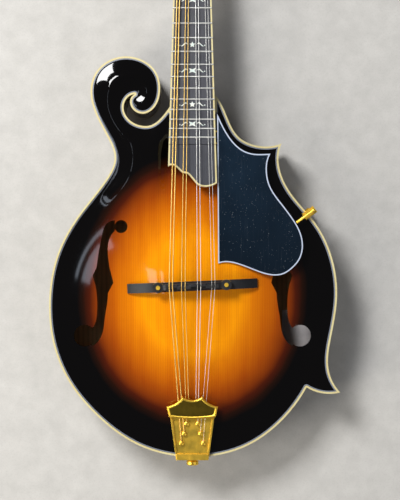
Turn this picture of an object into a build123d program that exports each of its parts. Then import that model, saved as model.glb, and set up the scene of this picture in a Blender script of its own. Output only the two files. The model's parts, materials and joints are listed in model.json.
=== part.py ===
from build123d import *

import os
from math import acos, atan2, cos, pi, radians, sin, sqrt, tan

# A mandolin with a scrolled, arched body, lying on its back.  Millimetres, +X to the
# treble side, +Y towards the headstock, +Z out of the face.  The origin is the centre
# of the round land of the strap button, on the body's centre line.

# ---- body ---------------------------------------------------------------------------
tail_reach = 8.2          # from the strap button's land to the body's tail end
rib_height = 35.0
rib_thickness = 2.3
plate_edge = 5.0          # thickness of both plates at their edge
binding_width = 1.6
top_apex = 15.5           # height of the arch over its glue plane
back_apex = 16.9
recurve_dip = 1.2         # how far the plates dip before they rise
plate_wall = 3.2
arch_radius = 112.0       # from the crown of the arch to the recurve, across
arch_stretch = 1.1        # how much longer the arch is along the body
arch_centre = 134.0       # from the tail end
glue_margin = 8.0         # flat rim of the plates, glued to ribs and linings
cavity_end = 262.0        # where the hollow stops and the blocks begin
lining_width = 5.0
lining_height = 8.0
tone_bar_width = 6.0
tone_bar_floor = 3.5      # flat lower face of the tone bars over the glue plane
tail_block_width = 60.0
tail_block_depth = 22.0
horn_split = 38.0         # the treble horn's block starts here, across
point_block_x = 99.0
point_block_y = (38.0, 76.0)
label_width, label_length, label_thickness = 26.0, 40.0, 0.3
label_place = (92.0, 103.0)

# ---- strings, neck and fingerboard ----------------------------------------------------
scale_length = 352.4      # from the saddle's contact line to the nut
saddle_place = 146.5      # from the tail end
saddle_string_z = 49.5    # contact height of the strings on the saddle
neck_pitch = 4.5          # degrees
string_rise = 4.6         # from the board's plane to the strings, at the saddle
string_rise_nut = 1.2
joint_place = 294.0       # where the neck leaves the body
neck_side_gap = 0.3       # from the neck to the body beside it
board_thickness = 5.0
nut_width = 26.4
nut_thickness = 4.0
board_taper = 0.0564      # growth of width per length, towards the body
board_binding = 1.3
fret_count = 18
fret_crown, fret_height = 1.2, 0.9
tang_width, tang_depth = 0.5, 1.6
scoop_depth = 1.0         # the fretless end of the board lies lower
scoop_gap = 5.8           # from the last fret to that step
board_ends = (99.9, 86.0)  # from the saddle, on the bass and the treble side
inlay_thickness = 0.6
inlaid_frets = (3, 5, 7, 10, 12, 15, 17)
star_frets = (5, 10, 15)  # the others have a bow tie in their middle
star_radius = 2.6
vine_start, vine_reach = 3.6, 6.0
vine_wave, vine_width = 1.2, 1.3
neck_depth = 15.5         # wood under the board, at the nut
neck_depth_heel = 17.5
heel_length = 34.0
heel_foot_width = 22.0
riser_width = 34.0
tenon_width, tenon_flare, tenon_depth = 20.0, 4.0, 15.0
truss_rod_diameter = 5.0
truss_channel = 7.0
truss_rod_start = 20.0    # from the joint, along the neck
cover_thickness = 1.6
head_tilt = 9.0           # degrees more than the neck
head_thickness = 12.0
overlay_thickness = 1.5
head_half_width = 33.0
head_shoulder = 12.0      # from the nut to the widest part
head_crest = 28.0         # length of the shaped top

# ---- tuners --------------------------------------------------------------------------
post_spacing = 23.0
first_post = 24.0         # from the nut's back face
post_offset = 22.5        # from the centre line
post_radius = 3.0
post_hole_gap = 0.5       # from the post to the wood under its bushing
post_waist = 2.4
post_height = 15.0        # over the overlay
running_clearance = 0.05  # radial, in bearings
string_slot_clearance = 0.3
winding_start, winding_length = 5.0, 4.5
bushing_radius, bushing_flange = 4.4, 5.8
tuner_plate_thickness = 1.2
gear_teeth = 15
gear_pitch_radius = 4.5
gear_thickness = 2.6
gear_gap = 1.7            # over the tuner plate, for the worm's thread
worm_pitch_radius = 2.1
worm_root_radius = 1.6
thread_depth = 1.0
mesh_clearance = 0.25
thread_width = 0.5
tooth_width = 0.6
lug_thickness = 1.6
lug_gap = 0.15
knob_length, knob_width, knob_thickness = 14.0, 12.0, 6.5
knob_gap = 5.0            # from the head's side to the knob

# ---- bridge --------------------------------------------------------------------------
bridge_turn = 2.5         # degrees
bridge_length, bridge_thickness = 110.0, 8.0
bridge_base_top = 38.2
bridge_post_spacing = 57.0
bridge_post_radius = 1.75
wheel_radius, wheel_thickness = 4.6, 2.5
saddle_length, saddle_thickness = 66.0, 5.0
saddle_ear_top = 45.4
saddle_ear_radius = 4.4
bridge_post_top = 47.2
bridge_post_embed = 4.2
saddle_shoulder = 46.6
ridge_thickness = 2.4
# the strings break over a stepped ridge: start, end and shift of each course's step
saddle_steps = ((-22.0, -12.5, 0.9), (-12.5, -1.0, -0.7), (-1.0, 11.5, 0.9), (11.5, 22.0, -0.7))

# ---- tailpiece and strap button --------------------------------------------------------
tailpiece_lift = 2.0      # clear of the plate's edge
tray_thickness = 1.4
crown_underside, crown_top = 29.6, 31.4
stud_radius, stud_height = 1.0, 3.4
strap_land_radius, strap_land_length = 5.2, 2.4
strap_shank_radius = 2.5
flange_thickness = 1.7

# ---- pickguard -----------------------------------------------------------------------
guard_top = 32.2
guard_thickness = 1.6
guard_edge_width = 1.0
clamp_reach = 18.0        # from under the guard to the clamp's screw post
clamp_rod_radius = 1.2
hook_start, hook_width, hook_thickness = 8.5, 6.4, 1.6
pin_radius, pin_length = 0.55, 12.0
pin_rows = (266.0, 276.0)  # pins from the board into the guard, from the tail end

# ---- strings: name, radius, place on the saddle, stud ----------------------------------
string_table = (
    ("g1", 0.50, -19.0, (-9.3, 12.5)),
    ("g2", 0.50, -16.3, (-6.9, 20.6)),
    ("d1", 0.33, -8.9, (-4.8, 29.1)),
    ("d2", 0.33, -5.9, (-2.8, 37.2)),
    ("a1", 0.205, 4.4, (2.8, 37.2)),
    ("a2", 0.205, 7.2, (4.8, 29.1)),
    ("e1", 0.14, 16.3, (6.9, 20.6)),
    ("e2", 0.14, 19.0, (9.3, 12.5)),
)
nut_course_spacing, nut_pair_gap = 6.1, 2.1
string_gap = 0.1         # round studs and posts, and under the crown
crown_place = 52.0        # where the strings leave the crown, from the tail end
string_bend = 4.0

# ---- screws --------------------------------------------------------------------------
screw_radius, screw_length = 0.9, 8.0
screw_head_radius, screw_head_height = 1.9, 1.1

# ---- derived -------------------------------------------------------------------------
glue_z = rib_height / 2
rim_z = glue_z + plate_edge
back_z = -glue_z - back_apex
pitch = radians(neck_pitch)
board_z = saddle_string_z - string_rise


def level(z):
    """Horizontal plane whose origin is over the body's tail end."""
    return Plane(origin=(0, tail_reach, z))


# Neck plane: local y runs along the board from the saddle line, local z out of the board.
board = Plane(origin=(0, tail_reach + saddle_place, board_z), x_dir=(1, 0, 0),
              z_dir=(0, sin(pitch), cos(pitch)))
tilt = radians(neck_pitch + head_tilt)
head_origin = board.from_local_coords(Vector(0, scale_length + nut_thickness, -board_thickness))
head = Plane(origin=head_origin, x_dir=(1, 0, 0), z_dir=(0, sin(tilt), cos(tilt)))
# The head's tip is level with the back's apex, so the instrument rests on both.
head_length = (head_origin.Z - head_thickness * cos(tilt) - back_z) / sin(tilt)
joint_u = (joint_place - saddle_place) / cos(pitch)
knob_start = head_half_width + knob_gap
worm_drop = head_thickness + tuner_plate_thickness + gear_gap + gear_thickness / 2
worm_offset = gear_pitch_radius + worm_pitch_radius
worm_lead = 2 * pi * gear_pitch_radius / gear_teeth


def fret_u(number):
    """Distance of a fret from the saddle line."""
    return scale_length * 2 ** (-number / 12)


def board_width(u):
    return nut_width + board_taper * (scale_length - u)


neck_side = board_width(joint_u) / 2 + neck_side_gap


def board_underside(y):
    """Height of the board's lower face over the place y along the body."""
    return board_z - (y - saddle_place) * tan(pitch) - board_thickness / cos(pitch)


# ---- shared shapes -------------------------------------------------------------------
def body_shape(inset=0, flipped=False):
    """Plan of the body, from the tail end, drawn in by the inset, or seen from behind."""
    with BuildSketch() as shape:
        with BuildLine():
            Spline((neck_side, 308), (27, 295), (39.8, 271.6), (57.5, 264.2), (75.8, 266.6))
            Spline((75.8, 266.6), (73.3, 250), (81.5, 227.5), (105.4, 197.6), (120, 164.6),
                   (123, 136), (117.8, 101.5), (115.2, 82.2), (125.7, 54.9))
            ThreePointArc((125.7, 54.9), (110.5, 54.2), (97.1, 59.2))
            Spline((97.1, 59.2), (77.8, 32.9), (45.7, 9.2), (0, 0), (-45.7, 10),
                   (-82.1, 36.1), (-105.7, 65.4), (-119.4, 101.3), (-121.9, 128.7),
                   (-113.6, 175.5), (-96, 206.7), (-74.7, 234.4), (-66.2, 254),
                   (-73, 273.4), (-82, 291), (-86.6, 310.5), (-82, 327.2), (-66.9, 338.8),
                   (-47.3, 339.3), (-31.7, 328.6), (-27.4, 311.5), (-33, 296.5),
                   (-41.5, 291.9), (-50.3, 295.4), (-53, 302), (-49, 308.5))
            Spline((-49, 308.5), (-55.5, 305.2), (-58.5, 297.5), (-54.5, 287.6),
                   (-44.6, 281.9), (-36, 281.8), (-28, 286.8), (-neck_side, 297.8))
            Polyline((-neck_side, 297.8), (-neck_side, joint_place), (neck_side, joint_place),
                     (neck_side, 308))
        make_face()
        if inset:
            offset(amount=-inset, kind=Kind.ARC)
    outline = shape.sketch.to_splines(3, 0.001) if inset else shape.sketch
    if flipped:
        return mirror(outline, about=Plane.YZ, mode=Mode.PRIVATE)
    return outline


def arch(edge, apex, reach=400.0, depth=1.0):
    """Solid under an arched surface over the glue plane, with its recurve."""
    low = edge - recurve_dip
    steps = 9
    rise = [(arch_radius * k / steps, low + (apex - low) * (cos(pi * k / steps) + 1) / 2)
            for k in range(steps + 1)]
    rim = [(arch_radius + 9, low + 0.65 * recurve_dip), (arch_radius + 20, edge)]
    with BuildPart() as dome:
        with BuildSketch(Plane.XZ):
            with BuildLine():
                Spline(*rise, *rim, tangents=((1, 0), (1, 0)))
                Polyline(rim[-1], (reach, edge), (reach, -depth), (0, -depth), rise[0])
            make_face()
        revolve(axis=Axis.Z)
    stretched = scale(dome.part, by=(1, arch_stretch, 1), mode=Mode.PRIVATE)
    return stretched.moved(Location((0, arch_centre, 0)))


def hollow(apex, depth=0.0, flipped=False):
    """The hollow under a plate, over the glue plane, inside the glued rim."""
    with BuildPart() as space:
        with BuildSketch(Plane.XY.offset(-depth)):
            add(body_shape(glue_margin, flipped))
            with Locations((0, cavity_end)):
                Rectangle(400, 400, align=(Align.CENTER, Align.MAX), mode=Mode.INTERSECT)
        extrude(amount=40)
        add(arch(plate_edge - plate_wall, apex - plate_wall, depth=depth + 1),
            mode=Mode.INTERSECT)
    return space.part


def f_hole():
    """Sound hole of the treble side, in plan."""
    with BuildSketch() as shape:
        with BuildLine():
            Spline((65.9, 201.2), (73.2, 197.9), (77.1, 187.2), (80, 171.6), (81.5, 161))
            Line((81.5, 161), (84.8, 154.1))
            Line((84.8, 154.1), (82.4, 146.4))
            Spline((82.4, 146.4), (80.9, 135.7), (80.9, 123.1), (82, 115.3), (84, 111))
            Line((84, 111), (92, 103))
            Line((92, 103), (84.8, 94.4))
            Spline((84.8, 94.4), (79, 99.8), (75.6, 108.5), (74.2, 119.2), (72.7, 127.9),
                   (71.5, 139.6))
            Line((71.5, 139.6), (66.9, 148.3))
            Line((66.9, 148.3), (70.3, 161))
            Spline((70.3, 161), (71.7, 171.6), (71.7, 180.3), (69.3, 188.1), (65.9, 192))
            Line((65.9, 192), (65.9, 201.2))
        make_face()
        with Locations((60.6, 195.9)):
            Circle(5.5)
        with Locations((91.6, 103.2)):
            Circle(9.2)
    return shape.sketch


def plate(apex, flipped=False):
    """Arched plate over its glue plane, hollowed, inside its binding."""
    with BuildPart() as blank:
        with BuildSketch():
            add(body_shape(binding_width, flipped))
        extrude(amount=apex + plate_edge)
        add(arch(plate_edge, apex), mode=Mode.INTERSECT)
        add(hollow(apex, flipped=flipped), mode=Mode.SUBTRACT)
    return blank.part


def binding():
    """Plan of the band round a plate."""
    with BuildSketch() as shape:
        add(body_shape())
        add(body_shape(binding_width), mode=Mode.SUBTRACT)
    return shape.sketch


def to_top(shape):
    return shape.moved(Location((0, tail_reach, glue_z)))


def to_back(shape):
    return shape.rotate(Axis.Y, 180).moved(Location((0, tail_reach, -glue_z)))


def screw(plane, length=screw_length):
    """Wood screw, its domed head on the plane and its shank below."""
    with BuildPart() as piece:
        with BuildSketch(plane):
            Circle(screw_head_radius)
        extrude(amount=screw_head_height, taper=25)
        with BuildSketch(plane):
            Circle(screw_radius)
        extrude(amount=-length)
    return piece.part


def pilot(plane, length=screw_length):
    """The hole that a wood screw fills."""
    with BuildPart() as bore:
        with BuildSketch(plane):
            Circle(screw_radius)
        extrude(amount=length, both=True)
    return bore.part


def rod(start, end, radius):
    """Round bar between two points, with a ball at its far end."""
    run = end - start
    with BuildPart(Plane(origin=start, z_dir=run)) as bar:
        Cylinder(radius, run.length, align=(Align.CENTER, Align.CENTER, Align.MIN))
        with Locations((0, 0, run.length)):
            Sphere(radius)
    return bar.part


def ring(plane, radius, wire):
    """Closed turn of wire in the plane, its centre line at the radius."""
    with BuildPart(plane) as turn:
        Torus(radius, wire)
    return turn.part


# ---- places that several pieces share ------------------------------------------------
tail_face = -0.2                     # the flange's inner face, just past the ribs
flange_face = tail_face - flange_thickness
pin_start = neck_side - 3.0          # inside the board
tray_floor = rim_z + tailpiece_lift + tray_thickness
flange_screws = [Plane(origin=(x, tail_reach + flange_face, z), x_dir=(1, 0, 0),
                       z_dir=(0, -1, 0)) for x, z in ((-7.5, 9.0), (7.5, 9.0), (0.0, -9.0))]
bridge_angle = radians(bridge_turn)
bridge = Plane(origin=(0, tail_reach + saddle_place - 0.8, 0),
               x_dir=(cos(bridge_angle), sin(bridge_angle), 0), z_dir=(0, 0, 1))
wheel_top = bridge_base_top + wheel_thickness
saddle_top = saddle_string_z + 1.0
post_places = [(side * post_offset, first_post + post_spacing * k)
               for side in (-1, 1) for k in range(4)]
cover_screws = [(-5.5, 5.0), (5.5, 5.0), (0.0, 23.0)]
tuner_plate_ends = (first_post - 9.0, first_post + 3 * post_spacing + 14.0)
plate_screw_rows = [first_post - 6.0] + [first_post + post_spacing * (k + 0.58)
                                         for k in range(3)] + [tuner_plate_ends[1] - 3.0]
plate_screw_offset = post_offset - 7.5
tuner_screws = [head.from_local_coords(Vector(side * plate_screw_offset, row,
                                              -head_thickness - tuner_plate_thickness))
                for side in (-1, 1) for row in plate_screw_rows]


def at_head(x, s, n):
    """Plane parallel to the headstock's face, s from the nut and n over the wood."""
    return Plane(origin=head.from_local_coords(Vector(x, s, n)), x_dir=(1, 0, 0),
                 z_dir=head.z_dir)


def under_head(point):
    """Plane at a point of the headstock's back, facing away from it."""
    return Plane(origin=point, x_dir=(1, 0, 0), z_dir=-head.z_dir)


def guard_pins():
    """Pins from the board's side into the guard."""
    with BuildPart() as pins:
        for y in pin_rows:
            with BuildSketch(Plane(origin=(pin_start, tail_reach + y, guard_top - guard_thickness / 2),
                                   x_dir=(0, 1, 0), z_dir=(1, 0, 0))):
                Circle(pin_radius)
            extrude(amount=pin_length)
    return pins.part


# ---- sound box -----------------------------------------------------------------------
strap_bore_plane = Plane(origin=(0, tail_reach, 0), x_dir=(1, 0, 0), z_dir=(0, -1, 0))


def tenon():
    """Dovetail of the neck, wider inside the block."""
    half, flared = tenon_width / 2, tenon_width / 2 + tenon_flare / 2
    inner = joint_place - tenon_depth
    with BuildPart() as tail:
        with BuildSketch(level(-glue_z + rib_height / 4)):
            with BuildLine():
                Polyline((-half, joint_place), (half, joint_place), (flared, inner),
                         (-flared, inner), close=True)
            make_face()
        extrude(amount=rib_height * 3 / 4)
    return tail.part


top_hollow = to_top(hollow(top_apex, depth=4))
back_hollow = to_back(hollow(back_apex, depth=4, flipped=True))

with BuildPart() as soundboard:
    add(to_top(plate(top_apex)))
    with BuildSketch(level(glue_z - 1)):
        add(f_hole())
        mirror(f_hole(), about=Plane.YZ)
    extrude(amount=top_apex + 5, mode=Mode.SUBTRACT)

with BuildPart() as back_plate:
    add(to_back(plate(back_apex, flipped=True)))

with BuildPart() as top_binding:
    with BuildSketch(level(glue_z)):
        add(binding())
    extrude(amount=plate_edge)

with BuildPart() as back_binding:
    with BuildSketch(level(-glue_z - plate_edge)):
        add(binding())
    extrude(amount=plate_edge)

with BuildPart() as neck_block:
    with BuildSketch(level(-glue_z)):
        add(body_shape(rib_thickness))
        with Locations((horn_split, cavity_end)):
            Rectangle(200, 100, align=(Align.MAX, Align.MIN), mode=Mode.INTERSECT)
    extrude(amount=rib_height)
    add(tenon(), mode=Mode.SUBTRACT)

with BuildPart() as tail_block:
    with BuildSketch(level(-glue_z)):
        add(body_shape(rib_thickness))
        Rectangle(tail_block_width, tail_block_depth, align=(Align.CENTER, Align.MIN),
                  mode=Mode.INTERSECT)
    extrude(amount=rib_height)
    for place in flange_screws:
        add(pilot(place, screw_length + 6), mode=Mode.SUBTRACT)
    with BuildSketch(strap_bore_plane):
        Circle(strap_shank_radius)
    extrude(amount=-tail_block_depth - 2, mode=Mode.SUBTRACT)

with BuildPart() as point_blocks:
    with BuildSketch(level(-glue_z)):
        with Locations((point_block_x, point_block_y[0])):
            Rectangle(60, point_block_y[1] - point_block_y[0],
                      align=(Align.MIN, Align.MIN))
        with Locations((horn_split, cavity_end)):
            Rectangle(60, 60, align=(Align.MIN, Align.MIN))
        add(body_shape(rib_thickness), mode=Mode.INTERSECT)
    extrude(amount=rib_height)

with BuildPart() as linings:
    for floor in (-glue_z, glue_z - lining_height):
        with BuildSketch(level(floor)):
            add(body_shape(rib_thickness))
            add(body_shape(rib_thickness + lining_width), mode=Mode.SUBTRACT)
            with Locations((0, cavity_end)):
                Rectangle(400, 400, align=(Align.CENTER, Align.MAX), mode=Mode.INTERSECT)
            Rectangle(tail_block_width, tail_block_depth, align=(Align.CENTER, Align.MIN),
                      mode=Mode.SUBTRACT)
            with Locations((point_block_x, point_block_y[0])):
                Rectangle(60, point_block_y[1] - point_block_y[0],
                          align=(Align.MIN, Align.MIN), mode=Mode.SUBTRACT)
        extrude(amount=lining_height)

with BuildPart() as tone_bars:
    for x, turn in ((-34, 8), (34, -8)):
        with BuildSketch(level(glue_z + tone_bar_floor)):
            with Locations(Location((x, arch_centre - 4), turn)):
                Rectangle(tone_bar_width, 190)
        extrude(amount=top_apex)
    add(top_hollow, mode=Mode.INTERSECT)

with BuildPart() as paper_label:
    with BuildSketch(level(-glue_z)):
        with Locations(label_place):
            Rectangle(label_width, label_length)
    extrude(amount=-back_apex)
    add(back_hollow, mode=Mode.INTERSECT)
    add(back_hollow.moved(Location((0, 0, label_thickness))), mode=Mode.SUBTRACT)

with BuildPart() as ribs:
    with BuildSketch(level(-glue_z)):
        add(body_shape())
        add(body_shape(rib_thickness), mode=Mode.SUBTRACT)
    extrude(amount=rib_height)
    add(tenon(), mode=Mode.SUBTRACT)
    for place in flange_screws:
        add(pilot(place, screw_length + 6), mode=Mode.SUBTRACT)
    with BuildSketch(strap_bore_plane):
        Circle(strap_shank_radius)
    extrude(amount=tail_block_depth, both=True, mode=Mode.SUBTRACT)

# ---- neck and fingerboard --------------------------------------------------------------
def neck_section(y, width, depth, fullness):
    """Rounded section of the neck's wood, hanging from the board's lower face."""
    place = Plane(origin=(0, tail_reach + y, board_underside(y)), x_dir=(1, 0, 0),
                  z_dir=(0, 1, 0))
    half = width / 2
    with BuildSketch(place) as section:
        with BuildLine():
            Line((-half, 0), (half, 0))
            Spline((half, 0), (half * fullness, depth * 0.62), (0, depth),
                   (-half * fullness, depth * 0.62), (-half, 0),
                   tangents=((0, 1), (0, -1)))
        make_face()
    return section.sketch


def width_at(y):
    return board_width((y - saddle_place) / cos(pitch))


nut_end = head_origin.Y - tail_reach
heel_depth = board_underside(joint_place) + rim_z
shaft_start = joint_place + heel_length

with BuildSketch() as head_plan:
    with BuildLine():
        Line((-nut_width / 2, 0), (nut_width / 2, 0))
        Spline((nut_width / 2, 0), (nut_width / 2 + 6, head_shoulder * 0.35),
               (head_half_width, head_shoulder * 1.6), tangents=((0.4, 1), (0, 1)))
        Line((head_half_width, head_shoulder * 1.6),
             (head_half_width, head_length - head_crest))
        Spline((head_half_width, head_length - head_crest),
               (head_half_width - 9, head_length - 10), (head_half_width - 17, head_length - 8),
               (0, head_length), (-head_half_width + 17, head_length - 8),
               (-head_half_width + 9, head_length - 10),
               (-head_half_width, head_length - head_crest),
               tangents=((0, 1), (0, -1)))
        Line((-head_half_width, head_length - head_crest),
             (-head_half_width, head_shoulder * 1.6))
        Spline((-head_half_width, head_shoulder * 1.6),
               (-nut_width / 2 - 6, head_shoulder * 0.35), (-nut_width / 2, 0),
               tangents=((0, -1), (0.4, -1)))
    make_face()

with BuildPart() as neck:
    # shaft, under the board
    add(neck_section(shaft_start, width_at(shaft_start), neck_depth_heel, 0.86))
    add(neck_section((shaft_start + nut_end) / 2, width_at((shaft_start + nut_end) / 2),
                     (neck_depth_heel + neck_depth) / 2, 0.86))
    add(neck_section(nut_end, nut_width, neck_depth, 0.86))
    loft()
    # heel, down to the back
    heel_rise = heel_depth - neck_depth_heel
    heel_width = width_at(joint_place)
    foot = heel_foot_width / heel_width
    for share, drop, fullness in ((0.0, 1.0, foot), (0.16, 0.72, 0.7), (0.42, 0.3, 0.8),
                                  (1.0, 0.0, 0.86)):
        place = joint_place + heel_length * share
        add(neck_section(place, width_at(place), neck_depth_heel + heel_rise * drop, fullness))
    loft()
    # riser over the body, under the board
    with BuildSketch(Plane(origin=(-riser_width / 2, tail_reach, 0), x_dir=(0, 1, 0),
                           z_dir=(1, 0, 0))):
        with BuildLine():
            Polyline((cavity_end, rim_z), (joint_place, rim_z),
                     (joint_place, board_underside(joint_place)),
                     (cavity_end, board_underside(cavity_end)), close=True)
        make_face()
    extrude(amount=riser_width)
    add(tenon())
    # headstock
    with BuildSketch(head):
        add(head_plan.sketch)
    extrude(amount=-head_thickness)
    for x, s in post_places:
        with BuildSketch(at_head(x, s, 0)):
            Circle(bushing_radius)
        extrude(amount=-head_thickness / 2, mode=Mode.SUBTRACT)
        with BuildSketch(at_head(x, s, 0)):
            Circle(post_radius + post_hole_gap)
        extrude(amount=-head_thickness, mode=Mode.SUBTRACT)
    for x, s in cover_screws:
        add(pilot(at_head(x, s, 0)), mode=Mode.SUBTRACT)
    for place in tuner_screws:
        add(pilot(under_head(place)), mode=Mode.SUBTRACT)
    # channel of the truss rod, open at the headstock
    with BuildSketch(board.offset(-board_thickness)):
        with Locations((0, joint_u + truss_rod_start)):
            Rectangle(truss_rod_diameter, scale_length - joint_u,
                      align=(Align.CENTER, Align.MIN))
    extrude(amount=-truss_channel, mode=Mode.SUBTRACT)

rod_axis = -board_thickness - truss_channel + truss_rod_diameter / 2
rod_length = scale_length - joint_u - 6
with BuildPart() as truss_rod:
    with BuildSketch(Plane(origin=board.from_local_coords(
            Vector(0, joint_u + truss_rod_start + 2, rod_axis)), x_dir=(1, 0, 0),
            z_dir=board.y_dir)) as rod_end:
        Circle(truss_rod_diameter / 2)
    extrude(amount=rod_length)
    with BuildSketch(Plane(origin=board.from_local_coords(
            Vector(0, joint_u + truss_rod_start + 2 + rod_length, rod_axis)),
            x_dir=(1, 0, 0), z_dir=board.y_dir)):
        RegularPolygon(1.3, 6)
    extrude(amount=-8, mode=Mode.SUBTRACT)

with BuildPart() as headstock_overlay:
    with BuildSketch(head):
        add(head_plan.sketch)
        with Locations(*post_places):
            Circle(bushing_radius, mode=Mode.SUBTRACT)
        with Locations(*cover_screws):
            Circle(screw_radius, mode=Mode.SUBTRACT)
        Rectangle(truss_rod_diameter, 16, align=(Align.CENTER, Align.MIN),
                  mode=Mode.SUBTRACT)
    extrude(amount=overlay_thickness)

with BuildPart() as truss_rod_cover:
    with BuildSketch(head.offset(overlay_thickness)):
        with BuildLine():
            Line((-8.5, 1.5), (8.5, 1.5))
            Spline((8.5, 1.5), (8, 9), (4.5, 18), (3.6, 25), (0, 28), (-3.6, 25),
                   (-4.5, 18), (-8, 9), (-8.5, 1.5), tangents=((0, 1), (0, -1)))
        make_face()
        with Locations(*cover_screws):
            Circle(screw_radius, mode=Mode.SUBTRACT)
    extrude(amount=cover_thickness)

step_u = fret_u(fret_count) - scoop_gap


def edge_x(u):
    return board_width(u) / 2


def board_outline(inset=0.0):
    """Plan of the board; its body end runs out in two scallops, inset like its sides."""
    bass_end, treble_end = board_ends
    beyond = scale_length + 10
    with BuildSketch() as shape:
        with BuildLine():
            Polyline((-edge_x(bass_end), bass_end), (-edge_x(beyond), beyond),
                     (edge_x(beyond), beyond), (edge_x(treble_end), treble_end))
            Spline((edge_x(treble_end), treble_end), (16.0, 83.7), (11.4, 82.9),
                   (4.5, 84.7), (1.2, 88.2), (-1.9, 91.9), (-4.1, 94.0), (-7.8, 94.8),
                   (-10.5, 96.8), (-13.7, 99.9), (-16.3, 101.2),
                   (-edge_x(bass_end), bass_end))
        make_face()
        if inset:
            offset(amount=-inset, kind=Kind.INTERSECTION)
        with Locations((0, scale_length)):
            Rectangle(80, 400, align=(Align.CENTER, Align.MAX), mode=Mode.INTERSECT)
    return shape.sketch.to_splines(3, 0.001) if inset else shape.sketch


def vine(side, centre):
    """Wavy tendril of a pearl inlay, thick in the middle and thin at its ends."""
    steps = 12
    spine = [(vine_start + vine_reach * k / steps,
              centre + vine_wave * sin(1.6 * pi * k / steps), sin(pi * (k + 0.6) / (steps + 1.2)))
             for k in range(steps + 1)]
    with BuildSketch() as shape:
        with BuildLine():
            over = Spline(*[(side * x, y + vine_width / 2 * swell) for x, y, swell in spine])
            under = Spline(*[(side * x, y - vine_width / 2 * swell) for x, y, swell in spine])
            Line(over @ 0, under @ 0)
            Line(over @ 1, under @ 1)
        make_face()
    return shape.sketch


def motif(number):
    """Pearl inlay just behind a fret: a centre piece with a tendril on each side."""
    centre = (fret_u(number) + fret_u(number - 1)) / 2
    with BuildSketch() as shape:
        with Locations((0, centre)):
            if number in star_frets:
                Polygon(*[(r * cos(pi * (k + 0.5) / 5), r * sin(pi * (k + 0.5) / 5))
                          for k, r in enumerate((star_radius, star_radius / 2) * 5)],
                        align=None)
            else:
                Polygon((-3.0, -2.2), (0, -1.1), (3.0, -2.2), (1.9, 0), (3.0, 2.2), (0, 1.1),
                        (-3.0, 2.2), (-1.9, 0), align=None)
        for side in (-1, 1):
            add(vine(side, centre))
            with Locations((side * (vine_start + vine_reach + 0.9), centre - 0.6)):
                Circle(0.5)
    return shape.sketch


with BuildPart() as fingerboard:
    with BuildSketch(board):
        add(board_outline(board_binding))
    extrude(amount=-board_thickness)
    with BuildSketch(board):
        with Locations((0, step_u)):
            Rectangle(80, 80, align=(Align.CENTER, Align.MAX))
    extrude(amount=-scoop_depth, mode=Mode.SUBTRACT)
    with BuildSketch(board):
        for number in range(1, fret_count + 1):
            with Locations((0, fret_u(number))):
                Rectangle(80, tang_width)
    extrude(amount=-tang_depth, mode=Mode.SUBTRACT)
    with BuildSketch(board):
        for number in inlaid_frets:
            add(motif(number))
    extrude(amount=-inlay_thickness, mode=Mode.SUBTRACT)
    add(guard_pins(), mode=Mode.SUBTRACT)

with BuildPart() as inlays:
    with BuildSketch(board):
        for number in inlaid_frets:
            add(motif(number))
    extrude(amount=-inlay_thickness)

with BuildPart() as neck_binding:
    with BuildSketch(board):
        add(board_outline())
        add(board_outline(board_binding), mode=Mode.SUBTRACT)
    extrude(amount=-board_thickness)
    with BuildSketch(board):
        with Locations((0, step_u)):
            Rectangle(80, 80, align=(Align.CENTER, Align.MAX))
    extrude(amount=-scoop_depth, mode=Mode.SUBTRACT)
    add(guard_pins(), mode=Mode.SUBTRACT)

with BuildPart() as frets:
    for number in range(1, fret_count + 1):
        u = fret_u(number)
        width = board_width(u)
        with BuildSketch(Plane(origin=board.from_local_coords(Vector(-width / 2, u, 0)),
                               x_dir=board.y_dir, z_dir=(1, 0, 0))):
            with BuildLine():
                Line((-fret_crown / 2, 0), (fret_crown / 2, 0))
                ThreePointArc((fret_crown / 2, 0), (0, fret_height), (-fret_crown / 2, 0))
            make_face()
        extrude(amount=width)
        tang = width - 2 * board_binding
        with BuildSketch(board):
            with Locations((0, u)):
                Rectangle(tang, tang_width)
        extrude(amount=-tang_depth)

string_nut_x = {}
for course in range(4):
    for pair in range(2):
        name = string_table[2 * course + pair][0]
        string_nut_x[name] = (course - 1.5) * nut_course_spacing + (pair - 0.5) * nut_pair_gap


def nut_point(name, radius):
    """Where a string crosses the nut's front edge."""
    return board.from_local_coords(
        Vector(string_nut_x[name], scale_length + nut_thickness / 2,
               string_rise_nut + radius))


with BuildPart() as nut:
    nut_top = string_rise_nut + 1.0
    with BuildSketch(Plane(origin=board.from_local_coords(
            Vector(-nut_width / 2, scale_length, 0)), x_dir=board.y_dir, z_dir=(1, 0, 0))):
        with BuildLine():
            Polyline((0, -board_thickness), (nut_thickness, -board_thickness),
                     (nut_thickness, nut_top - 1.8), (nut_thickness * 0.5, nut_top),
                     (0.5, nut_top), (0, nut_top - 0.5), close=True)
        make_face()
    extrude(amount=nut_width)
    for name, radius, _, _ in string_table:
        slot = radius + string_slot_clearance
        with BuildSketch(Plane(origin=board.from_local_coords(
                Vector(string_nut_x[name], scale_length, string_rise_nut + radius)),
                x_dir=(1, 0, 0), z_dir=board.y_dir)):
            Circle(slot)
            Rectangle(2 * slot, 4, align=(Align.CENTER, Align.MAX))
        extrude(amount=nut_thickness, mode=Mode.SUBTRACT)

# ---- bridge --------------------------------------------------------------------------
half_spacing = bridge_post_spacing / 2
bridge_posts_at = [(-half_spacing, 0), (half_spacing, 0)]
side_view = Plane(origin=bridge.from_local_coords(Vector(0, bridge_thickness / 2, 0)),
                  x_dir=bridge.x_dir, z_dir=-bridge.y_dir)

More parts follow.
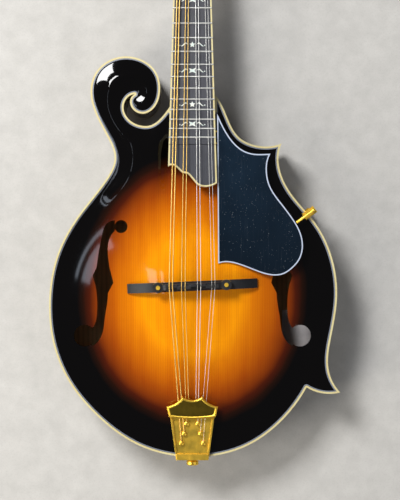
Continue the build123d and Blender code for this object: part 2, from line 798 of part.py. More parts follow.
with BuildPart() as bridge_base:
    half = bridge_length / 2
    low = glue_z + 6
    with BuildSketch(side_view):
        with BuildLine():
            Polyline((-half, low), (half, low), (half, rim_z + 7.0))
            Spline((half, rim_z + 7.0), (half_spacing + 9, bridge_base_top - 0.6),
                   (half_spacing + 5, bridge_base_top))
            Line((half_spacing + 5, bridge_base_top), (-half_spacing - 5, bridge_base_top))
            Spline((-half_spacing - 5, bridge_base_top),
                   (-half_spacing - 9, bridge_base_top - 0.6), (-half, rim_z + 7.0))
            Line((-half, rim_z + 7.0), (-half, low))
        make_face()
    extrude(amount=bridge_thickness)
    add(to_top(arch(plate_edge, top_apex, depth=10)), mode=Mode.SUBTRACT)
    with BuildSketch(bridge.offset(bridge_base_top)):
        with Locations(*bridge_posts_at):
            Circle(bridge_post_radius)
    extrude(amount=-bridge_post_embed, mode=Mode.SUBTRACT)

with BuildPart() as bridge_posts:
    with BuildSketch(bridge.offset(bridge_base_top - bridge_post_embed)):
        with Locations(*bridge_posts_at):
            Circle(bridge_post_radius)
    extrude(amount=bridge_post_top - bridge_base_top + bridge_post_embed)


def thumbwheel(x):
    """Knurled wheel on a bridge post, under the saddle."""
    with BuildPart() as wheel:
        with BuildSketch(bridge.offset(bridge_base_top)):
            with Locations((x, 0)):
                Circle(wheel_radius)
                Circle(bridge_post_radius + running_clearance, mode=Mode.SUBTRACT)
                with PolarLocations(wheel_radius + 0.15, 24):
                    Circle(0.45, mode=Mode.SUBTRACT)
        extrude(amount=wheel_thickness)
    return wheel.part


with BuildPart() as thumbwheel_bass:
    add(thumbwheel(-half_spacing))

with BuildPart() as thumbwheel_treble:
    add(thumbwheel(half_spacing))

with BuildPart() as bridge_saddle:
    half, crest = saddle_length / 2, saddle_steps[-1][1]
    with BuildSketch(Plane(origin=bridge.from_local_coords(Vector(0, saddle_thickness / 2, 0)),
                           x_dir=bridge.x_dir, z_dir=-bridge.y_dir)):
        with BuildLine():
            Polyline((-half, wheel_top), (-half + 9, wheel_top), (-half + 12, wheel_top + 1.4),
                     (half - 12, wheel_top + 1.4), (half - 9, wheel_top), (half, wheel_top),
                     (half, saddle_ear_top - 1), (half - 1, saddle_ear_top),
                     (crest + 2, saddle_ear_top), (crest, saddle_shoulder),
                     (-crest, saddle_shoulder), (-crest - 2, saddle_ear_top),
                     (-half + 1, saddle_ear_top), (-half, saddle_ear_top - 1), close=True)
        make_face()
    extrude(amount=saddle_thickness)
    with BuildSketch(bridge.offset(wheel_top)):
        with Locations(*bridge_posts_at):
            Circle(saddle_ear_radius)
    extrude(amount=saddle_ear_top - wheel_top)
    for start, end, shift in saddle_steps:
        with BuildSketch(bridge.offset(saddle_shoulder)):
            with Locations(((start + end) / 2, shift)):
                Rectangle(end - start, ridge_thickness)
        extrude(amount=saddle_top - saddle_shoulder)
    with BuildSketch(bridge.offset(wheel_top)):
        with Locations(*bridge_posts_at):
            Circle(bridge_post_radius + running_clearance)
    extrude(amount=saddle_top - wheel_top, mode=Mode.SUBTRACT)
    for _, radius, x, _ in string_table:
        slot = radius + string_slot_clearance
        with BuildSketch(Plane(origin=bridge.from_local_coords(
                Vector(x, saddle_thickness, saddle_string_z + radius)),
                x_dir=bridge.x_dir, z_dir=-bridge.y_dir)):
            Circle(slot)
            Rectangle(2 * slot, 4, align=(Align.CENTER, Align.MIN))
        extrude(amount=2 * saddle_thickness, mode=Mode.SUBTRACT)

# ---- tailpiece and strap button --------------------------------------------------------
tray = level(rim_z + tailpiece_lift)

with BuildPart() as tailpiece:
    with BuildSketch(tray):
        with BuildLine():
            Polyline((-13.8, flange_face), (13.8, flange_face), (14.6, 5), (18.4, 33),
                     (19.4, 36), (19.4, 44), (-19.4, 44), (-19.4, 36), (-18.4, 33),
                     (-14.6, 5), close=True)
        make_face()
    extrude(amount=tray_thickness)
    # raised sides of the tray, carrying the crown
    with BuildSketch(tray):
        for side in (-1, 1):
            with BuildLine():
                Polyline((side * 14.6, 5), (side * 18.4, 33), (side * 16.8, 33),
                         (side * 13.2, 5), close=True)
            make_face()
    extrude(amount=tray_thickness + 2.2)
    with BuildSketch(tray):
        with Locations((-18.1, 40), (18.1, 40)):
            Rectangle(2.6, 8)
    extrude(amount=crown_underside - rim_z - tailpiece_lift)
    with BuildSketch(level(crown_underside)):
        with BuildLine():
            ThreePointArc((19.6, 35.2), (0, 33.6), (-19.6, 35.2))
            Line((-19.6, 35.2), (-21.7, 43.9))
            ThreePointArc((-21.7, 43.9), (-14.8, 46.2), (-8.4, 52.2))
            ThreePointArc((-8.4, 52.2), (-4.2, 50.1), (0, 49.4))
            ThreePointArc((0, 49.4), (4.2, 50.1), (8.4, 52.2))
            ThreePointArc((8.4, 52.2), (14.8, 46.2), (21.7, 43.9))
            Line((21.7, 43.9), (19.6, 35.2))
        make_face()
    extrude(amount=crown_top - crown_underside)
    # end ledge and flange over the body's tail
    with BuildSketch(level(tray_floor)):
        with Locations((0, flange_face)):
            Rectangle(27, 5.2, align=(Align.CENTER, Align.MIN))
    extrude(amount=1.8)
    with BuildSketch(Plane(origin=(0, tail_reach + flange_face, 0), x_dir=(1, 0, 0),
                           z_dir=(0, -1, 0))):
        with BuildLine():
            Polyline((-13.5, tray_floor), (-13.5, 4), (-7, -14), (7, -14), (13.5, 4),
                     (13.5, tray_floor), close=True)
        make_face()
        Circle(strap_shank_radius, mode=Mode.SUBTRACT)
        with Locations((-7.5, 9.0), (7.5, 9.0), (0.0, -9.0)):
            Circle(screw_radius, mode=Mode.SUBTRACT)
    extrude(amount=-flange_thickness)

with BuildPart() as hitch_studs:
    for _, _, _, (x, y) in string_table:
        with BuildSketch(level(tray_floor)):
            with Locations((x, y)):
                Circle(stud_radius)
        extrude(amount=stud_height)
        with BuildSketch(level(tray_floor + stud_height - 0.8)):
            with Locations((x, y)):
                Circle(stud_radius + 0.5)
        extrude(amount=0.8)

strap_face = tail_reach + flange_face
strap_end = -strap_land_length / 2 - 0.9
with BuildPart() as strap_button:
    with BuildSketch():
        with BuildLine():
            half_land = strap_land_length / 2
            Line((0, strap_end), (3.4, strap_end))
            ThreePointArc((3.4, strap_end), (4.75, strap_end + 0.3),
                          (strap_land_radius, -half_land))
            Line((strap_land_radius, -half_land), (strap_land_radius, half_land))
            Spline((strap_land_radius, half_land), (3.4, half_land + 1.3),
                   (3.1, half_land + 2.6), (4.6, strap_face))
            Polyline((4.6, strap_face), (strap_shank_radius, strap_face),
                     (strap_shank_radius, strap_face + 17), (0, strap_face + 20),
                     (0, strap_end))
        make_face()
    revolve(axis=Axis.Y)

# ---- pickguard -----------------------------------------------------------------------
guard = level(guard_top - guard_thickness)


def guard_shape(inset=0):
    """Plan of the pickguard, its straight side along the board."""
    with BuildSketch() as shape:
        with BuildLine():
            Spline((20.9, 291), (25.9, 280.2), (32.4, 269.6), (40.7, 261.3), (49, 257.6),
                   (57.3, 256.8), (65.8, 257.1))
            Spline((65.8, 257.1), (63.2, 249.5), (62.9, 241.2), (64.4, 232.9), (69.1, 223.4),
                   (76.2, 214), (83.3, 204.5), (89.2, 195.1), (92.8, 184.4), (93.1, 177.3),
                   (90.3, 167.9), (84.4, 160.8), (76.2, 155.5), (67.9, 154.6), (58.5, 156.6),
                   (49, 160.2), (39.5, 163.7), (32.4, 165.5), (21.8, 164.6))
            Line((21.8, 164.6), (20.9, 291))
        make_face()
        if inset:
            offset(amount=-inset, kind=Kind.ARC)
    return shape.sketch.to_splines(3, 0.001) if inset else shape.sketch


with BuildPart() as pickguard:
    with BuildSketch(guard):
        add(guard_shape(guard_edge_width))
    extrude(amount=guard_thickness)
    add(guard_pins(), mode=Mode.SUBTRACT)

with BuildPart() as pickguard_edge:
    with BuildSketch(guard):
        add(guard_shape())
        add(guard_shape(guard_edge_width), mode=Mode.SUBTRACT)
    extrude(amount=guard_thickness)
    add(guard_pins(), mode=Mode.SUBTRACT)

# clamp at the waist: an arm under the guard, a screw post and two hooks over the plates
arm_z = guard_top - guard_thickness - clamp_rod_radius
clamp = Plane(origin=(88.0, tail_reach + 199.1, 0), x_dir=(0.806, 0.592, 0), z_dir=(0, 0, 1))
with BuildPart() as pickguard_bracket:
    arm_start = clamp.from_local_coords(Vector(0, 0, arm_z))
    corner = clamp.from_local_coords(Vector(clamp_reach, 0, arm_z))
    foot = clamp.from_local_coords(Vector(clamp_reach, 0, -rim_z - clamp_rod_radius))
    add(rod(arm_start, corner, clamp_rod_radius))
    add(rod(corner, foot, clamp_rod_radius))
    for floor in (rim_z, -rim_z - hook_thickness):
        with BuildSketch(clamp.offset(floor)):
            with Locations((hook_start, 0)):
                Rectangle(clamp_reach + 2.0 - hook_start, hook_width,
                          align=(Align.MIN, Align.CENTER))
        extrude(amount=hook_thickness)

# ---- tuners --------------------------------------------------------------------------
gear_root = worm_offset - worm_root_radius - thread_depth - mesh_clearance
gear_tip = worm_offset - worm_root_radius - mesh_clearance
gear_floor = -(head_thickness + tuner_plate_thickness + gear_gap + gear_thickness)
thread_half = 2 * worm_lead
collar_start = thread_half + thread_width / 2 + 0.1
collar_thickness = 0.5
lug_start = collar_start + collar_thickness + lug_gap
lug_half = 2.6


def worm_plane(row):
    """Worm axis of a treble tuner: local z runs outwards to the knob."""
    return Plane(origin=head.from_local_coords(
        Vector(post_offset, first_post + post_spacing * row + worm_offset, -worm_drop)),
        x_dir=head.y_dir, z_dir=(1, 0, 0))


def string_post(row):
    """Post of a treble tuner with its gear; the string winds on the waist."""
    s = first_post + post_spacing * row
    with BuildPart() as piece:
        with BuildSketch(at_head(post_offset, s, gear_floor)):
            Circle(gear_root)
            with PolarLocations(gear_root - 0.3, gear_teeth, start_angle=90):
                Rectangle(gear_tip - gear_root + 0.3, tooth_width,
                          align=(Align.MIN, Align.CENTER))
        extrude(amount=gear_thickness)
        with BuildSketch(at_head(post_offset, s, gear_floor - 0.9)):
            Circle(post_radius - 1.0)
        extrude(amount=0.9)
        with BuildSketch(at_head(post_offset, s, gear_floor)):
            Circle(post_radius)
        extrude(amount=overlay_thickness + post_height - gear_floor)
        with BuildSketch(at_head(post_offset, s, overlay_thickness + winding_start)):
            Circle(post_radius + 1)
            Circle(post_waist, mode=Mode.SUBTRACT)
        extrude(amount=winding_length, mode=Mode.SUBTRACT)
        with BuildSketch(Plane(origin=head.from_local_coords(
                Vector(post_offset, s, overlay_thickness + winding_start + winding_length
                       - 1.2)), x_dir=head.y_dir, z_dir=(1, 0, 0))):
            Circle(0.7)
        extrude(amount=2 * post_radius, both=True, mode=Mode.SUBTRACT)
    return piece.part


def worm(row):
    """Worm of a treble tuner, on the shaft that carries the knob."""
    with BuildPart() as piece:
        tail_end = lug_start + lug_thickness + 0.6
        with BuildSketch(Plane.XY.offset(-tail_end)):
            Circle(worm_root_radius)
        extrude(amount=tail_end + knob_start - post_offset + knob_length * 0.6)
        for floor in (-collar_start - collar_thickness, collar_start):
            with BuildSketch(Plane.XY.offset(floor)):
                Circle(worm_root_radius + 0.7)
            extrude(amount=collar_thickness)
        with BuildLine() as path:
            Helix(pitch=worm_lead, height=2 * thread_half, radius=worm_root_radius - 0.1,
                  center=(0, 0, -thread_half))
        with BuildSketch(Plane(origin=path.line @ 0, x_dir=(1, 0, 0), z_dir=path.line % 0)):
            Trapezoid(thread_width + 0.2, thread_depth + 0.1, 80, rotation=-90,
                      align=(Align.CENTER, Align.MIN))
        sweep(is_frenet=True)
    return piece.part.moved(worm_plane(row).location)


def knob(row):
    """Rounded button on the end of a treble worm's shaft."""
    start = knob_start - post_offset
    with BuildPart() as piece:
        with BuildSketch(Plane.XY.offset(start)):
            RectangleRounded(knob_thickness, knob_width, knob_thickness / 2 - 0.2)
        extrude(amount=knob_length)
        fillet(piece.edges().group_by(Axis.Z)[-1], 2.0)
        fillet(piece.edges().group_by(Axis.Z)[0], 1.2)
        with BuildSketch(Plane.XY.offset(start)):
            Circle(worm_root_radius)
        extrude(amount=knob_length * 0.6, mode=Mode.SUBTRACT)
    return piece.part.moved(worm_plane(row).location)


with BuildPart() as tuner_plates:
    plate_face = -head_thickness - tuner_plate_thickness
    for side in (-1, 1):
        with BuildSketch(head.offset(plate_face)):
            with Locations((side * (post_offset - 0.2), sum(tuner_plate_ends) / 2)):
                RectangleRounded(18, tuner_plate_ends[1] - tuner_plate_ends[0], 2)
            with Locations(*[place for place in post_places if place[0] * side > 0]):
                Circle(post_radius + running_clearance, mode=Mode.SUBTRACT)
            with Locations(*[(side * plate_screw_offset, row) for row in plate_screw_rows]):
                Circle(screw_radius, mode=Mode.SUBTRACT)
        extrude(amount=tuner_plate_thickness)
        for x, s in post_places:
            if x * side < 0:
                continue
            lug_depth = worm_drop + lug_half + plate_face
            with BuildSketch(head.offset(plate_face - lug_depth)):
                for reach in (-lug_start - lug_thickness / 2, lug_start + lug_thickness / 2):
                    with Locations((x + reach, s + worm_offset)):
                        Rectangle(lug_thickness, 2 * lug_half)
            extrude(amount=lug_depth)
            with BuildSketch(Plane(origin=head.from_local_coords(
                    Vector(x - lug_start - 3, s + worm_offset, -worm_drop)),
                    x_dir=head.y_dir, z_dir=(1, 0, 0))):
                Circle(worm_root_radius + running_clearance)
            extrude(amount=2 * lug_start + 6, mode=Mode.SUBTRACT)

with BuildPart() as post_bushings:
    for x, s in post_places:
        with BuildSketch(at_head(x, s, -head_thickness / 2)):
            Circle(bushing_radius)
            Circle(post_radius + running_clearance, mode=Mode.SUBTRACT)
        extrude(amount=head_thickness / 2 + overlay_thickness)
        with BuildSketch(at_head(x, s, overlay_thickness)):
            Circle(bushing_flange)
            Circle(post_radius + running_clearance, mode=Mode.SUBTRACT)
        extrude(amount=1.0, taper=20)

# ---- screws and strings ----------------------------------------------------------------
with BuildPart() as screws_and_pins:
    for place in flange_screws:
        add(screw(place, screw_length + 6))
    for x, s in cover_screws:
        add(screw(at_head(x, s, overlay_thickness + cover_thickness)))
    for place in tuner_screws:
        add(screw(under_head(place)))
    add(guard_pins())


def string(name, radius, x, stud):
    """One string, from its loop on the stud to its turn round the post."""
    order = [row[0] for row in string_table].index(name)
    side = -1 if order < 4 else 1
    row = order if side < 0 else 7 - order
    loop = stud_radius + string_gap + radius
    hitch = Vector(stud[0], tail_reach + stud[1], tray_floor + 1.5)
    rest = bridge.from_local_coords(Vector(
        x, next(shift for start, end, shift in saddle_steps if start <= x <= end),
        saddle_string_z + radius))
    share = (crown_place - stud[1]) / (saddle_place - stud[1])
    under_crown = Vector(stud[0] + (x - stud[0]) * share, tail_reach + crown_place,
                         crown_underside - string_gap - radius)
    over_nut = nut_point(name, radius)
    start = head.to_local_coords(over_nut)
    centre = Vector(side * post_offset, first_post + post_spacing * row,
                    overlay_thickness + winding_start + string_gap + radius)
    turn = post_waist + string_gap + radius
    away = start - centre
    bearing = atan2(away.Y, away.X) - side * acos(turn / sqrt(away.X ** 2 + away.Y ** 2))
    touch = head.from_local_coords(
        centre + Vector(turn * cos(bearing), turn * sin(bearing), 2 * radius + string_gap))
    leave = hitch + Vector(0, loop + radius + string_gap, 0)
    with BuildPart() as piece:
        with BuildLine() as path:
            FilletPolyline(leave, under_crown, rest, over_nut, touch, radius=string_bend)
        with BuildSketch(Plane(origin=path.line @ 0, z_dir=path.line % 0)):
            Circle(radius)
        sweep()
        add(ring(Plane(origin=hitch), loop, radius))
        add(ring(at_head(*centre), turn, radius))
    return piece.part


with BuildPart() as wound_strings:
    for row in string_table[:4]:
        add(string(*row))

with BuildPart() as plain_strings:
    for row in string_table[4:]:
        add(string(*row))

# ---- files ---------------------------------------------------------------------------
os.makedirs("parts", exist_ok=True)
single_pieces = {
    "soundboard": soundboard, "back_plate": back_plate, "ribs": ribs,
    "top_binding": top_binding, "back_binding": back_binding, "neck_block": neck_block,
    "tail_block": tail_block, "point_blocks": point_blocks, "linings": linings,
    "tone_bars": tone_bars, "paper_label": paper_label, "neck": neck,
    "truss_rod": truss_rod, "truss_rod_cover": truss_rod_cover,
    "headstock_overlay": headstock_overlay, "fingerboard": fingerboard,
    "neck_binding": neck_binding, "frets": frets, "inlays": inlays, "nut": nut,
    "bridge_base": bridge_base, "bridge_saddle": bridge_saddle,
    "bridge_posts": bridge_posts, "thumbwheel_bass": thumbwheel_bass,
    "thumbwheel_treble": thumbwheel_treble, "tailpiece": tailpiece,
    "hitch_studs": hitch_studs, "strap_button": strap_button,
    "screws_and_pins": screws_and_pins,
    "pickguard": pickguard, "pickguard_edge": pickguard_edge,
    "pickguard_bracket": pickguard_bracket, "wound_strings": wound_strings,
    "plain_strings": plain_strings, "tuner_plates": tuner_plates,
    "post_bushings": post_bushings,
}
for name, piece in single_pieces.items():
    piece.part.label = name
    export_step(piece.part, f"parts/{name}.step")

for row in range(4):
    for kind, make in (("string_post", string_post), ("worm", worm), ("knob", knob)):
        treble = make(row)
        for side, moved in (("treble", treble), ("bass", treble.mirror(Plane.YZ))):
            moved.label = f"{kind}_{side}_{row + 1}"
            export_step(moved, f"parts/{moved.label}.step")
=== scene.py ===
import json
import math

import bmesh
import bpy
import numpy as np
from bpy.props import FloatProperty, FloatVectorProperty, PointerProperty
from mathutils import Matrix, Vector
from mathutils.geometry import delaunay_2d_cdt


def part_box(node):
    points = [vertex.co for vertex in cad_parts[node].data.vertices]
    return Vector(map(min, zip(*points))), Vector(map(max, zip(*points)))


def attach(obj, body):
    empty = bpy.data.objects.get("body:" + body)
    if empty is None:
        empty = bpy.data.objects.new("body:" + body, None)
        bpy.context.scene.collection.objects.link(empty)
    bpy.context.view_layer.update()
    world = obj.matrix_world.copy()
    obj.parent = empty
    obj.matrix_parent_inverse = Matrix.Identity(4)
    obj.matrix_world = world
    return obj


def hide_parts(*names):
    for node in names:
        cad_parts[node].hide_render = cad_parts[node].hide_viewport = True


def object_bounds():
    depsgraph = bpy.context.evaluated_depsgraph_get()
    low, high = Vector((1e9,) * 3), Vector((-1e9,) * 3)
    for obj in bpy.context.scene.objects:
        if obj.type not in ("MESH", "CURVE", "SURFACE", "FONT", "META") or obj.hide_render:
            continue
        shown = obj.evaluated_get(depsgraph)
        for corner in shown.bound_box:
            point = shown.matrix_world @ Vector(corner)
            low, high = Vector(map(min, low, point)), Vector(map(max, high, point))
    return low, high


bl_info = {
    "name": "Mandolin finishes",
    "version": (1, 0, 0),
    "blender": (4, 5, 0),
    "location": "3D View > Sidebar > Mandolin",
    "description": "Carved top, trim, lacquers, metals and strings of an arched mandolin",
    "category": "Object",
}

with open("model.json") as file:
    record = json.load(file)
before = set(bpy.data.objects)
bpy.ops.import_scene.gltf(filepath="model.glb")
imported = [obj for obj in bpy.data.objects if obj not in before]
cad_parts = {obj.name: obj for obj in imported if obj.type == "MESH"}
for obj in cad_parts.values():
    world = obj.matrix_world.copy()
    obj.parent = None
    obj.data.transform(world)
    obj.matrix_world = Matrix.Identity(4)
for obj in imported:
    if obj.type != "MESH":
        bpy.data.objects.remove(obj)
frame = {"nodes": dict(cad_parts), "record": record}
cad_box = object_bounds()

MM = 0.001
GLUE_PLANE = 17.5 * MM       # where the top plate meets the ribs
ARCH_CENTRE = 142.2 * MM     # along the body, from the frame's origin
ARCH_STRETCH = 1.1           # the arch is this much longer than wide
GROOVE_REACH = 112 * MM      # from the arch's centre to the bottom of its groove
GROOVE_WIDTH = 20 * MM       # from there out to the flat rim
RIM_HEIGHT = 5.0 * MM        # the heights are over the glue plane
FACE_GROOVE, FACE_CROWN = 3.8 * MM, 15.5 * MM
HOLLOW_GROOVE, HOLLOW_CROWN = 0.6 * MM, 12.3 * MM
HOLLOW_EDGE = 8 * MM         # flat band that is glued to the ribs and linings
HOLLOW_END = 270.2 * MM      # where the neck block begins
SCROLL_START = 233 * MM      # along the body, where the finer net begins
BURST_CENTRE = 143.2 * MM
BURST_SIDE, BURST_UP, BURST_DOWN = 0.093, 0.119, 0.105
WINDING_PITCH = 0.26 * MM
STUD_NECK = 1.1 * MM
STUD_ROWS = ((9.3, 20.7), (6.9, 28.8), (4.8, 37.3), (2.8, 45.4))   # side and along, in mm
CAMERA_PLACE = (0.0065, 0.1842, 1.1225)
CAMERA_LENS = 93.2
FLOOR_Z = cad_box[0][2]


def tone(red, green, blue):
    """Linear colour of a swatch given in ordinary 0 to 255 screen values: the standard curve,
    undone."""
    values = np.array([red, green, blue]) / 255
    linear = np.where(values <= 0.04045, values / 12.92, ((values + 0.055) / 1.055) ** 2.4)
    return tuple(float(v) for v in linear)


# ---- settings ------------------------------------------------------------------------
def swatch(name, description, screen):
    """Colour setting, given in screen values."""
    return FloatVectorProperty(name=name, description=description, subtype="COLOR", size=3,
                               min=0, max=1, default=tone(*screen))


def length(name, description, millimetres):
    """Length setting, given in millimetres."""
    return FloatProperty(name=name, description=description, default=millimetres * MM,
                         min=0, subtype="DISTANCE", unit="LENGTH", precision=5)


class MandolinSizes(bpy.types.PropertyGroup):
    """Sizes of the worked surfaces"""
    grid: length("Top spacing", "Distance between points on the carved top", 2.2)
    fine_grid: length("Scroll spacing", "Distance between points near the scroll", 1.3)
    ridge_rise: length("Ridge rise", "Height of the carved ridge that runs round the scroll", 3.4)
    ridge_reach: length("Ridge reach", "From the outline to the ridge of the scroll", 14.0)
    purfling_inset: length("Purfling inset", "From the edge of the top plate to the line", 0.1)
    purfling_width: length("Purfling width", "Width of the line inside the binding", 0.9)
    edge_round: length("Edge round", "Rounding of bridge, tailpiece and nut edges", 0.3)
    crown_lip: length("Crown lip", "Width of the raised lip round the crown", 2.0)
    stud_radius: length("Stud radius", "Radius of the hitch studs' domed heads", 1.95)


class MandolinColours(bpy.types.PropertyGroup):
    """Colours of the finishes"""
    burst_heart: swatch("Burst heart", "Amber at the middle of the top", (226, 142, 2))
    burst_shade: swatch("Burst shade", "Brown between the amber and the rim", (107, 42, 3))
    burst_rim: swatch("Burst rim", "Nearly black lacquer at the rim", (3, 2, 2))
    maple: swatch("Maple", "Stained back, ribs and neck", (82, 34, 14))
    bare_wood: swatch("Bare wood", "Unfinished blocks and linings", (196, 160, 112))
    cream: swatch("Cream", "Grained cream binding", (202, 194, 150))
    purfling: swatch("Purfling", "Grey line inside the binding", (112, 118, 132))
    guard: swatch("Guard", "Slate plate of the pickguard", (10, 20, 30))
    guard_edge: swatch("Guard edge", "Pale edge of the pickguard", (176, 186, 206))
    board: swatch("Board", "Oiled black fingerboard wood", (37, 38, 47))
    bridge: swatch("Bridge", "Blacker wood of the bridge", (13, 14, 18))
    gold: swatch("Gold", "Gold plate of the metal fittings", (255, 214, 84))
    bronze: swatch("Bronze", "Wound strings", (255, 214, 120))
    steel: swatch("Steel", "Plain strings and frets", (238, 238, 234))
    pearl: swatch("Pearl", "Shell of the inlays", (222, 226, 218))
    bone: swatch("Bone", "Bone of the nut", (228, 216, 186))
    paper: swatch("Paper", "Blank label inside the body", (205, 200, 200))
    floor: swatch("Floor", "Plain pale floor", (186, 184, 180))


# ---- node trees ------------------------------------------------------------------------
class Bench:
    """A node tree being wired up: each call adds one node and gives back its first output."""

    def __init__(self, tree):
        self.tree = tree

    def add(self, kind, inputs=(), out=0, **options):
        made = self.tree.nodes.new(kind)
        for option, value in options.items():
            setattr(made, option, value)
        pairs = inputs.items() if isinstance(inputs, dict) else enumerate(inputs)
        for key, value in pairs:
            if isinstance(value, bpy.types.NodeSocket):
                self.tree.links.new(value, made.inputs[key])
            elif value is not None:
                made.inputs[key].default_value = value
        return made.outputs[out]

    def maths(self, operation, *values):
        return self.add("ShaderNodeMath", values, operation=operation)

    def noise(self, vector, scale, detail=3.0, roughness=0.55):
        return self.add("ShaderNodeTexNoise", {"Vector": vector, "Scale": scale,
                                                "Detail": detail, "Roughness": roughness})

    def stretch(self, vector, scale):
        return self.add("ShaderNodeMapping", {"Vector": vector, "Scale": scale})

    def split(self, vector):
        """The X, Y and Z outputs of a place."""
        return self.add("ShaderNodeSeparateXYZ", (vector,)).node.outputs

    def between(self, value, low, high, start=0.0, end=1.0):
        """Value taken from one range to another, and held at the ends."""
        return self.add("ShaderNodeMapRange", (value, low, high, start, end))

    def mix(self, amount, first, second, blend="MIX"):
        made = self.tree.nodes.new("ShaderNodeMix")
        made.data_type = "RGBA"
        made.blend_type = blend
        for key, value in ((0, amount), (6, first), (7, second)):
            if isinstance(value, bpy.types.NodeSocket):
                self.tree.links.new(value, made.inputs[key])
            elif key:
                made.inputs[key].default_value = (*value[:3], 1)
            else:
                made.inputs[key].default_value = value
        return made.outputs[2]

    def ramp(self, value, stops):
        made = self.tree.nodes.new("ShaderNodeValToRGB")
        self.tree.links.new(value, made.inputs[0])
        band = made.color_ramp
        while len(band.elements) < len(stops):
            band.elements.new(0.5)
        for element, (place, colour) in zip(band.elements, stops):
            element.position = place
            element.color = (*colour, 1)
        return made.outputs[0]

    def object_place(self):
        return self.add("ShaderNodeTexCoord", out=3)

    def effect(self, name, **inputs):
        """One of the shared effects, with its own values; gives back all its outputs."""
        made = self.tree.nodes.new("ShaderNodeGroup")
        made.node_tree = bpy.data.node_groups[name]
        for key, value in inputs.items():
            if isinstance(value, bpy.types.NodeSocket):
                self.tree.links.new(value, made.inputs[key])
            else:
                made.inputs[key].default_value = value
        return made.outputs


def start_effect(name, numbers, outputs):
    """Starts a shared effect with a Vector input, the named numbers and the named outputs."""
    group = bpy.data.node_groups.new(name, "ShaderNodeTree")
    group.interface.new_socket("Vector", in_out="INPUT", socket_type="NodeSocketVector")
    for key, default in numbers.items():
        socket = group.interface.new_socket(key, in_out="INPUT", socket_type="NodeSocketFloat")
        socket.default_value = default
    for key in outputs:
        group.interface.new_socket(key, in_out="OUTPUT", socket_type="NodeSocketFloat")
    bench = Bench(group)
    entry = group.nodes.new("NodeGroupInput").outputs
    exit_node = group.nodes.new("NodeGroupOutput")
    return bench, entry, exit_node


def finish_effect(bench, exit_node, *results):
    """Wires the results to the effect's outputs, in order."""
    for result, socket in zip(results, exit_node.inputs):
        bench.tree.links.new(result, socket)


def make_grain():
    """Long fibres: noise drawn out along Y, with broad dark growth lines across X."""
    bench, entry, end = start_effect("Grain", {"Lines": 700.0, "Wander": 0.15}, ("Lines", "Fibre"))
    place = entry["Vector"]
    drift = bench.noise(bench.stretch(place, (30, 4, 30)), 1.0, 2.0)
    x = bench.split(place)[0]
    phase = bench.maths("MULTIPLY", x, entry["Lines"])
    pushed = bench.maths("ADD", phase, bench.maths("MULTIPLY", drift, bench.maths("MULTIPLY",
                        entry["Wander"], 60.0)))
    growth = bench.maths("MULTIPLY_ADD", bench.maths("SINE", pushed), 0.5, 0.5)
    fibre = bench.noise(bench.stretch(place, (1500, 45, 1500)), 1.0, 4.0, 0.65)
    finish_effect(bench, end, bench.maths("POWER", growth, 2.0), fibre)


def make_figure():
    """Flames of figured maple: wavy bands across the length, broken by slower noise."""
    bench, entry, end = start_effect("Figure", {"Bands": 520.0}, ("Flame",))
    place = entry["Vector"]
    drift = bench.noise(bench.stretch(place, (22, 30, 22)), 1.0, 3.0)
    parts = bench.split(place)
    phase = bench.maths("MULTIPLY", parts[1], entry["Bands"])
    bent = bench.maths("MULTIPLY_ADD", drift, 16.0, phase)
    band = bench.maths("MULTIPLY_ADD", bench.maths("SINE", bent), 0.5, 0.5)
    broken = bench.between(bench.noise(bench.stretch(place, (60, 90, 60)), 1.0, 2.0), 0.35, 0.65)
    finish_effect(bench, end, bench.maths("MULTIPLY", band, broken))


def make_scratches():
    """Fine scratches: two sets of very long thin noise, turned to different headings, of which
    only the peaks show."""
    bench, entry, end = start_effect("Scratches", {"Amount": 0.4}, ("Scratch",))
    marks = []
    for heading, scale in ((0.5, (1400, 30, 300)), (-0.9, (1000, 24, 300))):
        turned = bench.add("ShaderNodeMapping", {"Vector": entry["Vector"],
                                                 "Rotation": (0, 0, heading), "Scale": scale})
        marks.append(bench.between(bench.noise(turned, 1.0, 2.0), 0.66, 0.76))
    both = bench.maths("MAXIMUM", *marks)
    finish_effect(bench, end, bench.maths("MULTIPLY", both, entry["Amount"]))


def make_smudge():
    """Handling marks: soft cloudy patches at the size of a fingertip, with a finer speckle."""
    bench, entry, end = start_effect("Smudge", {"Size": 60.0}, ("Cloud", "Speck"))
    sized = bench.add("ShaderNodeVectorMath", (entry["Vector"],), operation="SCALE")
    bench.tree.links.new(entry["Size"], sized.node.inputs[3])
    cloud = bench.between(bench.noise(sized, 1.0, 4.0, 0.6), 0.3, 0.7)
    speck = bench.between(bench.noise(sized, 22.0, 2.0), 0.62, 0.72)
    finish_effect(bench, end, cloud, speck)


def make_shell():
    """Shell lustre: cells of even tone, each a little different, crossed by wavy growth lines."""
    bench, entry, end = start_effect("Shell", {"Cells": 380.0}, ("Cell", "Wave"))
    bent = bench.add("ShaderNodeTexVoronoi", {"Vector": entry["Vector"], "Scale": entry["Cells"]},
                     out=1)
    cell = bench.add("ShaderNodeSeparateColor", (bent,))
    wave = bench.noise(bench.stretch(entry["Vector"], (500, 1600, 500)), 1.0, 3.0)
    finish_effect(bench, end, cell, wave)


def surface(name, roughness=0.4, metallic=0.0, coat=0.0, coat_roughness=0.05, level=None,
            film=1.5):
    """A new material's bench, its place socket and its shader. The film is the lacquer's
    refractive index."""
    material = bpy.data.materials.new(name)
    material.use_nodes = True
    bench = Bench(material.node_tree)
    shader = material.node_tree.nodes["Principled BSDF"]
    shader.inputs["Roughness"].default_value = roughness
    shader.inputs["Metallic"].default_value = metallic
    shader.inputs["Coat Weight"].default_value = coat
    shader.inputs["Coat Roughness"].default_value = coat_roughness
    shader.inputs["Coat IOR"].default_value = film
    if level is not None:
        shader.inputs["Specular IOR Level"].default_value = level
    return material, bench, bench.object_place(), shader


